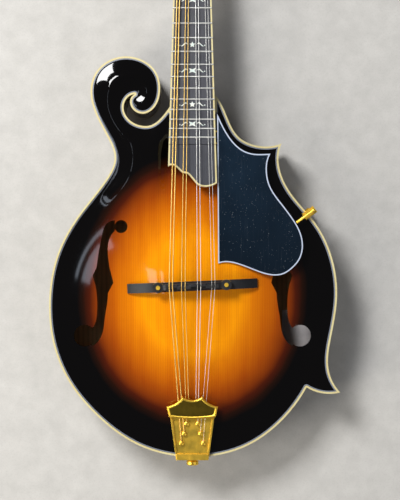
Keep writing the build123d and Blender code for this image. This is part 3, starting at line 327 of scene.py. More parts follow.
def dress(bench, shader, colour=None, roughness=None, height=None, distance=0.00005,
          strength=0.4):
    """Feeds the shader its colour, roughness and bump."""
    for key, value in (("Base Color", colour), ("Roughness", roughness)):
        if value is not None:
            bench.tree.links.new(value, shader.inputs[key])
    if height is not None:
        bump = bench.add("ShaderNodeBump", {"Strength": strength, "Distance": distance,
                                            "Height": height})
        bench.tree.links.new(bump, shader.inputs["Normal"])


def burst_colour(bench, place, colours):
    """Colour by the distance from the middle of the top on an ellipse, longer towards the neck
    than towards the tail: amber, then brown, then nearly black at the rim."""
    parts = bench.split(place)
    x, y = parts[0], parts[1]
    along = bench.maths("SUBTRACT", y, BURST_CENTRE)
    up = bench.maths("MAXIMUM", along, 0.0)
    down = bench.maths("MINIMUM", along, 0.0)
    squares = bench.maths("ADD", bench.maths("POWER", bench.maths("DIVIDE", up, BURST_UP), 2.0),
                          bench.maths("POWER", bench.maths("DIVIDE", bench.maths("ABSOLUTE",
                                      down), BURST_DOWN), 2.0))
    across = bench.maths("POWER", bench.maths("DIVIDE", bench.maths("ABSOLUTE", x), BURST_SIDE), 2.0)
    reach = bench.maths("SQRT", bench.maths("ADD", squares, across))
    uneven = bench.noise(place, 26.0, 2.0)
    reach = bench.maths("ADD", reach, bench.maths("MULTIPLY_ADD", uneven, 0.06, -0.03))
    heart, shade, rim = colours.burst_heart, colours.burst_shade, colours.burst_rim
    stops = [(0.40, heart), (0.50, tone(204, 117, 2)), (0.636, tone(176, 90, 2)),
             (0.727, tone(146, 66, 3)), (0.809, shade), (0.855, tone(62, 18, 3)),
             (0.909, tone(26, 8, 2)), (0.955, rim)]
    return bench.ramp(bench.maths("DIVIDE", reach, 1.1), [(p, tuple(c)) for p, c in stops]), reach


def spruce(colours):
    """Sunburst spruce under clear lacquer: growth lines, soft streaks and cross silk, which the
    dark rim hides."""
    material, bench, place, shader = surface("sunburst_spruce", 0.45, coat=1.0,
                                             coat_roughness=0.05, level=0.0, film=1.36)
    burst, reach = burst_colour(bench, place, colours)
    grain = bench.effect("Grain", Vector=place, Lines=4200.0, Wander=0.10)
    smudge = bench.effect("Smudge", Vector=place, Size=70.0)
    streak = bench.noise(bench.stretch(place, (150, 5, 150)), 1.0, 3.0)
    silk = bench.noise(bench.stretch(place, (60, 500, 60)), 1.0, 2.0)
    lined = bench.mix(bench.maths("MULTIPLY", grain[0], 0.22), burst, (0.35, 0.12, 0.01), "MULTIPLY")
    streaked = bench.mix(bench.between(streak, 0.4, 0.7, 0.0, 0.5), lined, (0.78, 0.56, 0.3),
                         "MULTIPLY")
    silky = bench.mix(bench.between(silk, 0.5, 0.75, 0.0, 0.1), streaked, (0.8, 0.7, 0.5),
                      "MULTIPLY")
    faded = bench.mix(bench.between(reach, 0.8, 1.0), silky, burst)
    dress(bench, shader, faded, bench.between(smudge[0], 0, 1, 0.38, 0.52), grain[1], 0.00003, 0.15)
    return material


def lacquered_maple(name, colour, darker, inside_tone=None):
    """Figured maple under tinted lacquer. With an inside tone, the faces that look up into the
    body are left bare."""
    material, bench, place, shader = surface(name, 0.42, coat=1.0, level=0.0,
                                             coat_roughness=0.06, film=1.4)
    figure = bench.effect("Figure", Vector=place, Bands=560.0)
    grain = bench.effect("Grain", Vector=place, Lines=1500.0, Wander=0.25)
    smudge = bench.effect("Smudge", Vector=place, Size=45.0)
    deep = tuple(darker * c for c in colour)
    flamed = bench.mix(bench.between(figure[0], 0, 1, 0.15, 0.9), deep, tuple(colour))
    lined = bench.mix(bench.maths("MULTIPLY", grain[0], 0.25), flamed, (0.3, 0.2, 0.15), "MULTIPLY")
    if inside_tone:
        facing = bench.add("ShaderNodeNewGeometry", out=1)
        parts = bench.split(facing)
        bare = bench.between(parts[2], 0.2, 0.3)
        plain_wood = bench.mix(bench.maths("MULTIPLY", grain[0], 0.5), inside_tone,
                               tuple(0.6 * c for c in inside_tone))
        lined = bench.mix(bare, lined, plain_wood)
        bench.tree.links.new(bench.between(bare, 0, 1, 1, 0), shader.inputs["Coat Weight"])
    dress(bench, shader, lined, bench.between(smudge[0], 0, 1, 0.34, 0.5), grain[1], 0.00004, 0.2)
    return material


def bare_wood(colours):
    """Unfinished wood: growth lines, a fuzzy surface and grey handling marks."""
    material, bench, place, shader = surface("bare_wood", 0.75)
    grain = bench.effect("Grain", Vector=place, Lines=1900.0, Wander=0.3)
    smudge = bench.effect("Smudge", Vector=place, Size=40.0)
    dark = tuple(0.6 * c for c in colours.bare_wood)
    lined = bench.mix(bench.maths("MULTIPLY", grain[0], 0.6), tuple(colours.bare_wood), dark)
    fuzzy = bench.mix(bench.between(smudge[0], 0, 1, 0, 0.25), lined, dark)
    dress(bench, shader, fuzzy, bench.between(grain[1], 0.3, 0.7, 0.65, 0.85), grain[1], 0.0001, 0.5)
    return material


def ebony(name, colour):
    """Oiled black wood: slate sheen, short pores along the grain and worn paler patches."""
    material, bench, place, shader = surface(name, 0.4)
    grain = bench.effect("Grain", Vector=place, Lines=2600.0, Wander=0.2)
    smudge = bench.effect("Smudge", Vector=place, Size=80.0)
    pores = bench.between(bench.noise(bench.stretch(place, (2600, 160, 2600)), 1.0, 2.0), 0.58, 0.7)
    worn = bench.mix(bench.between(smudge[0], 0, 1, 0.0, 0.4), tuple(colour),
                     tuple(min(1, 1.7 * c) for c in colour))
    pored = bench.mix(pores, worn, tuple(0.3 * c for c in colour))
    lined = bench.mix(bench.maths("MULTIPLY", grain[0], 0.3), pored, (0.25, 0.25, 0.3), "MULTIPLY")
    low = bench.maths("SUBTRACT", grain[1], pores)
    dress(bench, shader, lined, bench.between(smudge[0], 0, 1, 0.34, 0.52), low, 0.00006, 0.35)
    return material


def ivoroid(name, colour):
    """Cream celluloid: fine parallel streaks like grained ivory, yellowed unevenly."""
    material, bench, place, shader = surface(name, 0.3, coat=0.6, coat_roughness=0.08)
    streak = bench.noise(bench.stretch(place, (900, 60, 2200)), 1.0, 3.0)
    smudge = bench.effect("Smudge", Vector=place, Size=50.0)
    yellow = (colour[0] * 0.86, colour[1] * 0.72, colour[2] * 0.46)
    aged = bench.mix(bench.between(smudge[0], 0, 1, 0.0, 0.45), tuple(colour), yellow)
    lined = bench.mix(bench.between(streak, 0.4, 0.7, 0.0, 0.35), aged, yellow)
    dirty = bench.mix(bench.maths("MULTIPLY", smudge[1], 0.5), lined, (0.16, 0.11, 0.06))
    dress(bench, shader, dirty, bench.between(smudge[0], 0, 1, 0.24, 0.42), streak, 0.00003, 0.15)
    return material


def polished_metal(name, colour, roughness, tarnish, scratched=0.5, lathe=False):
    """Plated or drawn metal: cloudy tarnish, fine scratches that catch the light, and dull
    worn spots."""
    material, bench, place, shader = surface(name, roughness, metallic=1.0)
    smudge = bench.effect("Smudge", Vector=place, Size=130.0)
    scratch = bench.effect("Scratches", Vector=place, Amount=scratched)
    clouded = bench.mix(bench.between(smudge[0], 0, 1, 0.0, 0.55), tuple(colour), tarnish)
    spotted = bench.mix(bench.maths("MULTIPLY", smudge[1], 0.7), clouded,
                        tuple(0.35 * c for c in tarnish))
    height = scratch[0]
    if lathe:
        turned = bench.noise(bench.stretch(place, (300, 300, 6000)), 1.0, 2.0)
        height = bench.maths("ADD", height, bench.maths("MULTIPLY", turned, 0.5))
    rough = bench.maths("ADD", bench.between(smudge[0], 0, 1, roughness, roughness + 0.16),
                        bench.maths("MULTIPLY", scratch[0], 0.2))
    dress(bench, shader, spotted, rough, height, 0.00003, 0.25)
    return material


def wound_bronze(colours):
    """Wound string: close turns across the run, with painted shade between them."""
    material, bench, place, shader = surface("wound_bronze", 0.45, metallic=1.0)
    parts = bench.split(place)
    turn = bench.maths("MULTIPLY_ADD", bench.maths("SINE", bench.maths(
        "MULTIPLY", parts[1], 2 * math.pi / WINDING_PITCH)), 0.5, 0.5)
    smudge = bench.effect("Smudge", Vector=place, Size=60.0)
    dark = tuple(0.3 * c for c in colours.bronze)
    # painted shade: the grooves between the turns are coloured at three tenths of the bronze
    wound = bench.mix(bench.between(turn, 0, 0.45), dark, tuple(colours.bronze))
    aged = bench.mix(bench.between(smudge[0], 0, 1, 0, 0.35), wound, (0.3, 0.18, 0.08))
    dress(bench, shader, aged, bench.between(smudge[0], 0, 1, 0.38, 0.5), turn, 0.00004, 0.4)
    return material


def guard_slate(colours):
    """Polished dark plate: slate blue, a painted paler reflection as a cloud towards its upper bass side,
    fine pick scratches and a few pale specks."""
    material, bench, place, shader = surface("guard_slate", 0.35, coat=0.8, level=0.0,
                                             coat_roughness=0.08, film=1.36)
    smudge = bench.effect("Smudge", Vector=place, Size=35.0)
    scratch = bench.effect("Scratches", Vector=place, Amount=0.05)
    parts = bench.split(place)
    # painted reflection: the plate is coloured paler towards its upper end, in smudge-shaped clouds
    up = bench.between(parts[1], 0.16, 0.29)
    base = tuple(colours.guard)
    pale = tuple(min(1, 2.6 * c) for c in base)
    cloud = bench.maths("MULTIPLY", up, bench.between(smudge[0], 0, 1, 0.2, 0.9))
    reflection_clouded = bench.mix(cloud, base, pale)
    cut = bench.mix(scratch[0], reflection_clouded, (0.2, 0.24, 0.3))
    speck = bench.between(bench.noise(place, 1300.0, 1.0), 0.74, 0.78, 0, 0.7)
    flecked = bench.mix(speck, cut, (0.5, 0.55, 0.62))
    dress(bench, shader, flecked, bench.between(smudge[0], 0, 1, 0.22, 0.42), scratch[0],
          0.00003, 0.3)
    return material


def shell(name, colour, cells):
    """Polished shell or pearloid: cool and warm cells crossed by growth waves."""
    material, bench, place, shader = surface(name, 0.22, coat=0.8, coat_roughness=0.05)
    lustre = bench.effect("Shell", Vector=place, Cells=cells)
    cool = (colour[0] * 0.72, colour[1] * 0.86, colour[2] * 0.92)
    warm = (colour[0] * 0.96, colour[1] * 0.84, colour[2] * 0.74)
    celled = bench.mix(lustre[0], cool, tuple(colour))
    waved = bench.mix(bench.between(lustre[1], 0.4, 0.65, 0, 0.6), celled, warm)
    dress(bench, shader, waved, bench.between(lustre[0], 0, 1, 0.14, 0.32), lustre[1], 0.00002, 0.2)
    return material


def quiet_surface(name, colour, roughness, coat=0.0, fibre=(700, 700, 700), depth=0.00004):
    """Bone, paper and black plate: an even tone with clouds, fine fibres and small marks."""
    material, bench, place, shader = surface(name, roughness, coat=coat)
    smudge = bench.effect("Smudge", Vector=place, Size=60.0)
    fine = bench.noise(bench.stretch(place, fibre), 1.0, 3.0)
    dark = tuple(0.7 * c for c in colour)
    clouded = bench.mix(bench.between(smudge[0], 0, 1, 0, 0.4), tuple(colour), dark)
    marked = bench.mix(bench.between(fine, 0.5, 0.75, 0, 0.35), clouded, dark)
    dress(bench, shader, marked, bench.between(smudge[0], 0, 1, roughness - 0.06, roughness + 0.12),
          fine, depth, 0.3)
    return material


def make_finishes(colours):
    """Every material slot of the record, with its finish."""
    for make in (make_grain, make_figure, make_scratches, make_smudge, make_shell):
        make()
    maple = tuple(colours.maple)
    deep = tuple(0.35 * c for c in maple)
    gold = tuple(colours.gold)
    tarnish = (gold[0] * 0.72, gold[1] * 0.58, gold[2] * 0.35)
    return {
        "spruce_top": spruce(colours),
        "maple_back": lacquered_maple("figured_back", maple, 0.35,
                                      inside_tone=tuple(colours.bare_wood)),
        "maple_ribs": lacquered_maple("dark_ribs", deep, 0.5),
        "maple_neck": lacquered_maple("dark_neck", tuple(0.5 * c for c in maple), 0.45),
        "inner_wood": bare_wood(colours),
        "ivoroid": ivoroid("cream_binding", tuple(colours.cream)),
        "label_paper": quiet_surface("blank_paper", tuple(colours.paper), 0.8, depth=0.0001),
        "steel": polished_metal("turned_steel", (0.5, 0.5, 0.51), 0.35, (0.25, 0.24, 0.22)),
        "black_plate": quiet_surface("black_plate", (0.006, 0.006, 0.007), 0.2, 1.0),
        "ebony": ebony("oiled_ebony", tuple(colours.board)),
        "fret_wire": polished_metal("fret_wire", tuple(colours.steel), 0.34,
                                    (0.6, 0.59, 0.55)),
        "pearl": shell("shell_inlay", tuple(colours.pearl), 420.0),
        "bone": quiet_surface("polished_bone", tuple(colours.bone), 0.35, 0.3, (400, 60, 1400)),
        "gold_hardware": polished_metal("gold_plate", gold, 0.30, tarnish, lathe=True),
        "guard_plate": guard_slate(colours),
        "guard_white": quiet_surface("guard_edge", tuple(colours.guard_edge), 0.3, 0.5),
        "bronze_winding": wound_bronze(colours),
        "string_steel": polished_metal("string_steel", tuple(colours.steel), 0.36,
                                       (0.45, 0.43, 0.4), 0.3),
        "knob_pearl": shell("pearl_knob", tuple(colours.bone), 260.0),
    }


def finish_for(slot_name):
    """The one material made for a slot of the record."""
    return bpy.data.materials[FINISH_NAMES[slot_name]]


FINISH_NAMES = {}


# ---- meshes ------------------------------------------------------------------------------
def place_piece(name, mesh, body, slot_name, replaced=(), smooth=35.0):
    """Puts a finished mesh in the scene: its normals rounded below an angle, its body, its
    slot and the nodes that it stands for."""
    mesh.validate()
    mesh.polygons.foreach_set("use_smooth", np.ones(len(mesh.polygons), dtype=bool))
    mesh.set_sharp_from_angle(angle=math.radians(smooth))
    piece = bpy.data.objects.new(name, mesh)
    bpy.context.collection.objects.link(piece)
    mesh.materials.append(finish_for(slot_name))
    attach(piece, body)
    if replaced:
        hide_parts(*replaced)
    return piece


def mesh_from(name, points, faces):
    """Mesh from point and face lists."""
    mesh = bpy.data.meshes.new(name)
    mesh.from_pydata(points, [], faces)
    mesh.update()
    return mesh


def merged_copy(node):
    """The CAD node's triangles in a new mesh, joined where they meet and made into flats."""
    mesh = frame["nodes"][node].data.copy()
    work = bmesh.new()
    work.from_mesh(mesh)
    bmesh.ops.remove_doubles(work, verts=work.verts, dist=0.01 * MM)
    bmesh.ops.dissolve_limit(work, angle_limit=math.radians(1.0), verts=work.verts,
                             edges=work.edges, delimit={"NORMAL"})
    work.to_mesh(mesh)
    work.free()
    mesh.materials.clear()
    return mesh


def softened(node, slot_name, body, width):
    """A CAD node with its sharp edges rounded."""
    mesh = merged_copy(node)
    piece = place_piece(node + "_worked", mesh, body, slot_name, (node,), 32.0)
    rounding = piece.modifiers.new("rounded edges", "BEVEL")
    rounding.width = width
    rounding.segments = 3
    rounding.limit_method = "ANGLE"
    rounding.angle_limit = math.radians(32)
    rounding.use_clamp_overlap = True
    rounding.harden_normals = True
    return piece


def rim_loops(node, above=-1.0):
    """Closed loops of plan points round the upward faces of a node that lie above a height, the
    longest first."""
    work = bmesh.new()
    work.from_mesh(frame["nodes"][node].data)
    bmesh.ops.remove_doubles(work, verts=work.verts, dist=0.01 * MM)
    work.normal_update()
    upward = {face for face in work.faces
              if face.normal.z > 0.3 and min(v.co.z for v in face.verts) > above}
    edges = [e for e in work.edges if sum(face in upward for face in e.link_faces) == 1]
    following = {}
    for edge in edges:
        for end in edge.verts:
            following.setdefault(end, []).append(edge.other_vert(end))
    loops = []
    left = set(following)
    while left:
        start = left.pop()
        loop, before, here = [start], None, start
        while True:
            onward = [v for v in following[here] if v is not before]
            before, here = here, onward[0]
            if here is start or here not in left:
                break
            left.discard(here)
            loop.append(here)
        loops.append(np.array([v.co.to_2d() for v in loop]))
    work.free()
    loops = [loop for loop in loops if len(loop) > 8]
    return sorted(loops, key=loop_length, reverse=True)


def loop_length(loop):
    """Distance round a closed loop."""
    return float(np.linalg.norm(loop - np.roll(loop, 1, axis=0), axis=1).sum())


def inside(points, loop):
    """Which points lie inside a closed loop, by counting crossings of a ray along X."""
    x, y = points[:, 0, None], points[:, 1, None]
    ax, ay = loop[:, 0], loop[:, 1]
    bx, by = np.roll(ax, -1), np.roll(ay, -1)
    level = (ay > y) != (by > y)
    with np.errstate(divide="ignore", invalid="ignore"):
        crossing = x < (bx - ax) * (y - ay) / (by - ay) + ax
    return (level & crossing).sum(axis=1) % 2 == 1


def reach_from(points, loop):
    """Distance from each point to the nearest stretch of a closed loop."""
    start = loop
    run = np.roll(loop, -1, axis=0) - start
    squared = np.maximum((run ** 2).sum(axis=1), 1e-18)
    nearest = np.full(len(points), np.inf)
    for block in np.array_split(np.arange(len(points)), max(1, len(points) // 2000)):
        gap = points[block, None, :] - start[None]
        share = np.clip((gap * run[None]).sum(axis=2) / squared, 0, 1)
        nearest[block] = np.linalg.norm(gap - share[..., None] * run[None], axis=2).min(axis=1)
    return nearest


def eased(value, low, high):
    """0 below the low end, 1 above the high end, with a level start and finish between."""
    share = np.clip((value - low) / (high - low), 0, 1)
    return share * share * (3 - 2 * share)


def arch(points, rim, low, crown):
    """Height over the glue plane: a raised cosine from the crown down to a shallow groove at
    112 mm, then an eased rise to the rim at 132 mm. Distance is measured on an ellipse that is
    a tenth longer than wide."""
    radius = np.hypot(points[:, 0], (points[:, 1] - ARCH_CENTRE) / ARCH_STRETCH)
    share = np.minimum(radius, GROOVE_REACH) / GROOVE_REACH
    dome = low + (crown - low) * (np.cos(np.pi * share) + 1) / 2
    lift = eased((np.clip(radius - GROOVE_REACH, 0, None) / GROOVE_WIDTH) ** 0.7, 0, 1)
    return dome + (rim - low) * lift


def ridge(points, reach, sizes):
    """Carved ridge of the scroll: the face climbs from the outline as the distance to the power
    of one and a half, on the bass side above the waist, and fades out towards the neck."""
    along = eased(points[:, 1], 213 * MM, 248 * MM)
    across = eased(-points[:, 0], 20 * MM, 34 * MM)
    climb = np.minimum(reach / sizes.ridge_reach, 1.0) ** 1.5
    return sizes.ridge_rise * climb * along * across


def top_height(points, outline, sizes):
    """Height of the top's face: the arch and the scroll's ridge over the glue plane."""
    reach = reach_from(points, outline)
    face = arch(points, RIM_HEIGHT, FACE_GROOVE, FACE_CROWN)
    return GLUE_PLANE + face + ridge(points, reach, sizes)


def carved_top(sizes):
    """Top plate: a fine net of points inside the outline and outside the f-holes, raised to the
    arch and the scroll's ridge; a hollowed underside on the same net; and walls round every
    loop."""
    loops = rim_loops("soundboard")
    outline, holes = loops[0], loops[1:3]
    low, high = outline.min(axis=0), outline.max(axis=0)
    points = []
    for spacing, start, end in ((sizes.grid, low[1], SCROLL_START),
                                (sizes.fine_grid, SCROLL_START, high[1])):
        x, y = np.meshgrid(np.arange(low[0], high[0], spacing), np.arange(start, end, spacing))
        x = x + spacing / 2 * (np.arange(len(y)) % 2)[:, None]
        net = np.column_stack((x.ravel(), y.ravel()))
        net = net[inside(net, outline)]
        for hole in holes:
            net = net[~inside(net, hole)]
        clear = np.min([reach_from(net, loop) for loop in (outline, *holes)], axis=0)
        points.append(net[clear > 0.45 * spacing])
    rings = [outline, *holes]
    starts = np.cumsum([0] + [len(ring) for ring in rings])
    edges = [(int(s + i), int(s + (i + 1) % len(ring)))
             for s, ring in zip(starts, rings) for i in range(len(ring))]
    cloud = np.concatenate(rings + points)
    made = delaunay_2d_cdt([Vector(p) for p in cloud], edges, [], 0, 1e-7)
    plan = np.array([tuple(v) for v in made[0]])
    faces = np.array(made[2])
    middle = plan[faces].mean(axis=1)
    keep = inside(middle, outline)
    for hole in holes:
        keep &= ~inside(middle, hole)
    faces = faces[keep]
    corner = plan[faces]
    turned = np.cross(corner[:, 1] - corner[:, 0], corner[:, 2] - corner[:, 0]) < 0
    faces[turned] = faces[turned][:, ::-1]
    count = len(plan)
    top = top_height(plan, outline, sizes)
    hollow = (reach_from(plan, outline) >= HOLLOW_EDGE) & (plan[:, 1] < HOLLOW_END)
    inner = GLUE_PLANE + arch(plan, RIM_HEIGHT, HOLLOW_GROOVE, HOLLOW_CROWN)
    under = np.where(hollow, inner, GLUE_PLANE)
    under = np.minimum(under, top - 1.5 * MM)
    points = np.concatenate((np.column_stack((plan, top)), np.column_stack((plan, under))))
    halves = np.concatenate((faces[:, [0, 1]], faces[:, [1, 2]], faces[:, [2, 0]]))
    known = {tuple(edge) for edge in halves.tolist()}
    border = [edge for edge in halves.tolist() if (edge[1], edge[0]) not in known]
    walls = [(b, a, a + count, b + count) for a, b in border]
    shape = mesh_from("carved_top", points.tolist(),
                      faces.tolist() + (faces[:, ::-1] + count).tolist() + walls)
    place_piece("carved_top", shape, "instrument", "spruce_top", ("soundboard",), 40.0)
    return outline


def inset_ring(outline, distance):
    """The outline moved inwards: each point goes along the mean of its two neighbours' normals,
    far enough that both sides keep their distance."""
    ahead = np.roll(outline, -1, axis=0) - outline
    behind = outline - np.roll(outline, 1, axis=0)
    ahead /= np.linalg.norm(ahead, axis=1)[:, None]
    behind /= np.linalg.norm(behind, axis=1)[:, None]
    ahead = np.column_stack((-ahead[:, 1], ahead[:, 0]))
    behind = np.column_stack((-behind[:, 1], behind[:, 0]))
    normal = ahead + behind
    normal /= np.maximum((normal * ahead).sum(axis=1), 0.6)[:, None]
    x, y = outline.T
    area = np.sum(x * np.roll(y, -1) - np.roll(x, -1) * y)
    return outline + normal * distance * (1 if area > 0 else -1)


def outward(mesh):
    """Merges doubles and turns every face outwards."""
    work = bmesh.new()
    work.from_mesh(mesh)
    bmesh.ops.remove_doubles(work, verts=work.verts, dist=1e-7)
    bmesh.ops.recalc_face_normals(work, faces=work.faces)
    work.to_mesh(mesh)
    work.free()
    return mesh


def band(name, outline, profile, heights):
    """Closed band along an outline: its section is a loop of (distance inside the outline, rise
    over the height there)."""
    count = len(outline)
    rings = [inset_ring(outline, distance) for distance, rise in profile]
    points = np.concatenate([np.column_stack((ring, heights(ring) + rise))
                             for ring, (distance, rise) in zip(rings, profile)])
    step = np.arange(count)
    after = (step + 1) % count
    faces = []
    for side in range(len(profile)):
        a, b = side * count, (side + 1) % len(profile) * count
        faces.append(np.column_stack((step + a, step + b, after + b, after + a)))
    return outward(mesh_from(name, points.tolist(), np.concatenate(faces).tolist()))


def flat_plate(name, outline, low, high):
    """The outline filled in at two heights, with a wall between."""
    count = len(outline)
    step = np.arange(count)
    after = (step + 1) % count
    points = np.concatenate([np.column_stack((outline, np.full(count, z))) for z in (low, high)])
    walls = np.column_stack((step, after, after + count, step + count))
    faces = [list(range(count)), list(range(count, 2 * count)), *walls.tolist()]
    return outward(mesh_from(name, points.tolist(), faces))


def turned(name, profile, centre, direction, steps=32):
    """Surface of revolution: a profile of (radius, height) pairs carried round an axis."""
    profile = np.array(profile)
    angle = np.linspace(0, 2 * np.pi, steps, endpoint=False)
    axis = Vector(direction).normalized()
    spin = np.array(axis.to_track_quat("Z", "Y").to_matrix())
    ring = np.stack((np.outer(profile[:, 0], np.cos(angle)), np.outer(profile[:, 0], np.sin(angle)),
                     np.repeat(profile[:, 1:], steps, axis=1)), axis=2)
    points = ring.reshape(-1, 3) @ spin.T + np.array(centre)
    step = np.arange(steps)
    after = (step + 1) % steps
    faces = [np.column_stack((step + i * steps, after + i * steps, after + (i + 1) * steps,
                              step + (i + 1) * steps)) for i in range(len(profile) - 1)]
    return outward(mesh_from(name, points.tolist(), np.concatenate(faces).tolist()))


def join_meshes(name, meshes):
    """Several meshes in one, side by side."""
    work = bmesh.new()
    for mesh in meshes:
        work.from_mesh(mesh)
    joined = bpy.data.meshes.new(name)
    work.to_mesh(joined)
    work.free()
    return joined


# ---- operators -----------------------------------------------------------------------------
class MANDOLIN_OT_finishes(bpy.types.Operator):
    """Make every lacquer, wood, plate and metal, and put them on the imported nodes"""
    bl_idname = "mandolin.finishes"
    bl_label = "Finishes"

    def execute(self, context):
        finishes = make_finishes(context.scene.mandolin_colours)
        FINISH_NAMES.update({slot_name: made.name for slot_name, made in finishes.items()})
        for row in frame["record"]["subparts"]:
            node = frame["nodes"][row["node"]]
            node.data.materials.clear()
            node.data.materials.append(finishes[row["material_slot"]])
        return {"FINISHED"}


class MANDOLIN_OT_top(bpy.types.Operator):
    """Carve the top plate with its arch and scroll, and lay the line inside its binding"""
    bl_idname = "mandolin.top"
    bl_label = "Carved top"

    def execute(self, context):
        sizes = context.scene.mandolin_sizes
        outline = carved_top(sizes)
        start = sizes.purfling_inset
        end = start + sizes.purfling_width
        section = ((start, -0.5 * MM), (start, 0.04 * MM), (end, 0.04 * MM), (end, -0.5 * MM))
        mesh = band("purfling_line", outline, section,
                    lambda ring: top_height(ring, outline, sizes))
        line = place_piece("purfling_line", mesh, "instrument", "guard_white")
        tint = quiet_surface("purfling_grey", tuple(context.scene.mandolin_colours.purfling), 0.35, 0.5)
        line.data.materials[0] = tint
        return {"FINISHED"}


class MANDOLIN_OT_bridge(bpy.types.Operator):
    """Round the edges of the bridge's base and saddle"""
    bl_idname = "mandolin.bridge"
    bl_label = "Bridge"

    def execute(self, context):
        width = context.scene.mandolin_sizes.edge_round
        black = ebony("bridge_ebony", tuple(context.scene.mandolin_colours.bridge))
        for node, body in (("bridge_base", "instrument"), ("bridge_saddle", "saddle")):
            softened(node, "ebony", body, width).data.materials[0] = black
        return {"FINISHED"}


class MANDOLIN_OT_tailpiece(bpy.types.Operator):
    """Round the cast tailpiece and turn the domed heads of its eight hitch studs"""
    bl_idname = "mandolin.tailpiece"
    bl_label = "Tailpiece"

    def execute(self, context):
        sizes = context.scene.mandolin_sizes
        softened("tailpiece", "gold_hardware", "instrument", sizes.edge_round)
        crown = rim_loops("tailpiece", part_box("tailpiece")[1].z - 0.2 * MM)[0]
        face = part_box("tailpiece")[1].z
        lip = sizes.crown_lip
        section = ((0.25 * MM, -0.4 * MM), (0.25 * MM, 0.1 * MM), (0.35 * lip, 0.55 * MM),
                   (0.65 * lip, 0.6 * MM), (lip, 0.15 * MM), (lip, -0.4 * MM))
        rim = band("crown_rim", crown, section, lambda ring: np.full(len(ring), face))
        place_piece("crown_rim", rim, "instrument", "gold_hardware", smooth=50)
        field = flat_plate("crown_field", inset_ring(crown, lip - 0.1 * MM), face - 0.4 * MM,
                           face + 0.06 * MM)
        # painted reflection: the crown's middle is coloured nearly black gold to stand in for the dark
        # that its polished face reflects
        gold = tuple(context.scene.mandolin_colours.gold)
        dark = tuple(0.16 * c for c in gold)
        field_piece = place_piece("crown_field", field, "instrument", "gold_hardware")
        field_piece.data.materials[0] = polished_metal("crown_dark_reflection", dark, 0.3,
                                                       tuple(0.5 * c for c in dark))
        low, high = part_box("hitch_studs")
        radius = sizes.stud_radius
        studs = []
        for x, y in STUD_ROWS:
            for side in (-1, 1):
                profile = ((0, low[2]), (STUD_NECK, low[2]), (STUD_NECK, high[2] - 0.9 * MM),
                           (radius, high[2] - 0.75 * MM), (radius, high[2] - 0.45 * MM),
                           (radius * 0.86, high[2] - 0.2 * MM), (radius * 0.5, high[2] - 0.04 * MM),
                           (0, high[2]))
                studs.append(turned("stud", profile, (side * x * MM, y * MM, 0), (0, 0, 1), 28))
        place_piece("hitch_stud_heads", join_meshes("hitch_stud_heads", studs), "instrument",
                    "gold_hardware", ("hitch_studs",))
        return {"FINISHED"}


class MANDOLIN_OT_nut(bpy.types.Operator):
    """Round the edges of the nut and the headstock's facing"""
    bl_idname = "mandolin.nut"
    bl_label = "Nut and facing"

    def execute(self, context):
        width = context.scene.mandolin_sizes.edge_round
        softened("nut", "bone", "instrument", width)
        softened("headstock_overlay", "black_plate", "instrument", width)
        return {"FINISHED"}


def panel_light(name, place, target, size, energy, colour=(1, 1, 1)):
    """Soft flat light that faces a point."""
    lamp = bpy.data.lights.new(name, "AREA")
    lamp.shape = "RECTANGLE"
    lamp.size, lamp.size_y = size
    lamp.energy = energy
    lamp.color = colour
    holder = bpy.data.objects.new(name, lamp)
    holder.location = place
    holder.rotation_euler = (Vector(target) - Vector(place)).to_track_quat("-Z", "Y").to_euler()
    holder.visible_camera = False
    bpy.context.collection.objects.link(holder)
    return holder


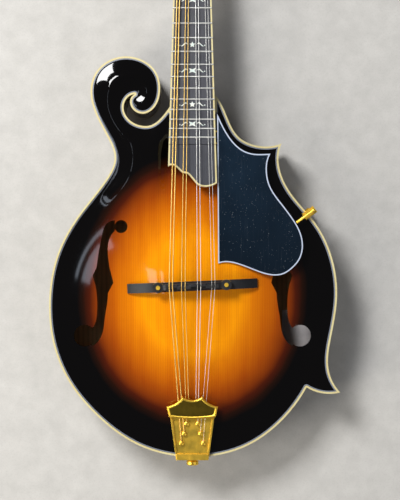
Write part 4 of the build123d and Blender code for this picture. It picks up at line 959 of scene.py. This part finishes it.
class MANDOLIN_OT_stage(bpy.types.Operator):
    """Lay the pale floor, hang the lights and set up the camera"""
    bl_idname = "mandolin.stage"
    bl_label = "Stage"

    def execute(self, context):
        scene = context.scene
        mesh = mesh_from("floor", [(-4, -4, FLOOR_Z), (4, -4, FLOOR_Z), (4, 4, FLOOR_Z), (-4, 4, FLOOR_Z)],
                         [(0, 1, 2, 3)])
        mesh.materials.append(quiet_surface("pale_floor", tuple(scene.mandolin_colours.floor), 0.85))
        floor = bpy.data.objects.new("floor", mesh)
        context.collection.objects.link(floor)
        world = bpy.data.worlds.new("studio")
        world.use_nodes = True
        world.node_tree.nodes["Background"].inputs["Color"].default_value = (0.9, 0.93, 1.0, 1)
        world.node_tree.nodes["Background"].inputs["Strength"].default_value = 0.16
        scene.world = world
        centre = (0, 0.18, 0)
        panel_light("key", (-0.60, 0.90, 1.25), centre, (0.45, 0.45), 28)
        panel_light("fill", (1.1, -0.7, 1.1), centre, (0.8, 0.8), 6)
        panel_light("tail", (-0.95, -0.25, 0.75), (0, 0.05, 0), (0.5, 0.9), 11, (1.0, 0.95, 0.86))
        for x, width in ((-0.50, 0.035), (-0.62, 0.10)):
            panel_light("window", (x, 0.30, 2.0), (x, 0.30, 0), (width, 0.30), 1.3 * width / 0.22,
                        (0.78, 0.86, 1.0))
        camera = bpy.data.cameras.new("camera")
        camera.sensor_fit = "AUTO"
        camera.sensor_width = 36
        camera.lens = CAMERA_LENS
        camera.clip_start = 0.01
        holder = bpy.data.objects.new("camera", camera)
        holder.location = CAMERA_PLACE
        context.collection.objects.link(holder)
        scene.camera = holder
        scene.view_settings.view_transform = "Standard"
        return {"FINISHED"}


OPERATORS = (MANDOLIN_OT_finishes, MANDOLIN_OT_top, MANDOLIN_OT_bridge, MANDOLIN_OT_tailpiece,
             MANDOLIN_OT_nut, MANDOLIN_OT_stage)


class MANDOLIN_PT_panel(bpy.types.Panel):
    """The mandolin's colours, sizes and steps"""
    bl_label = "Mandolin"
    bl_idname = "MANDOLIN_PT_panel"
    bl_space_type = "VIEW_3D"
    bl_region_type = "UI"
    bl_category = "Mandolin"

    def draw(self, context):
        for group in (context.scene.mandolin_sizes, context.scene.mandolin_colours):
            for key in group.__annotations__:
                self.layout.prop(group, key)
        for operator in OPERATORS:
            self.layout.operator(operator.bl_idname)


CLASSES = (MandolinSizes, MandolinColours, *OPERATORS, MANDOLIN_PT_panel)


def register():
    for kind in CLASSES:
        bpy.utils.register_class(kind)
    bpy.types.Scene.mandolin_sizes = PointerProperty(type=MandolinSizes)
    bpy.types.Scene.mandolin_colours = PointerProperty(type=MandolinColours)


def unregister():
    del bpy.types.Scene.mandolin_colours
    del bpy.types.Scene.mandolin_sizes
    for kind in reversed(CLASSES):
        bpy.utils.unregister_class(kind)


def main():
    register()
    for operator in OPERATORS:
        group, _, name = operator.bl_idname.partition(".")
        getattr(getattr(bpy.ops, group), name)()
    bpy.context.view_layer.update()


if __name__ == "__main__":
    main()
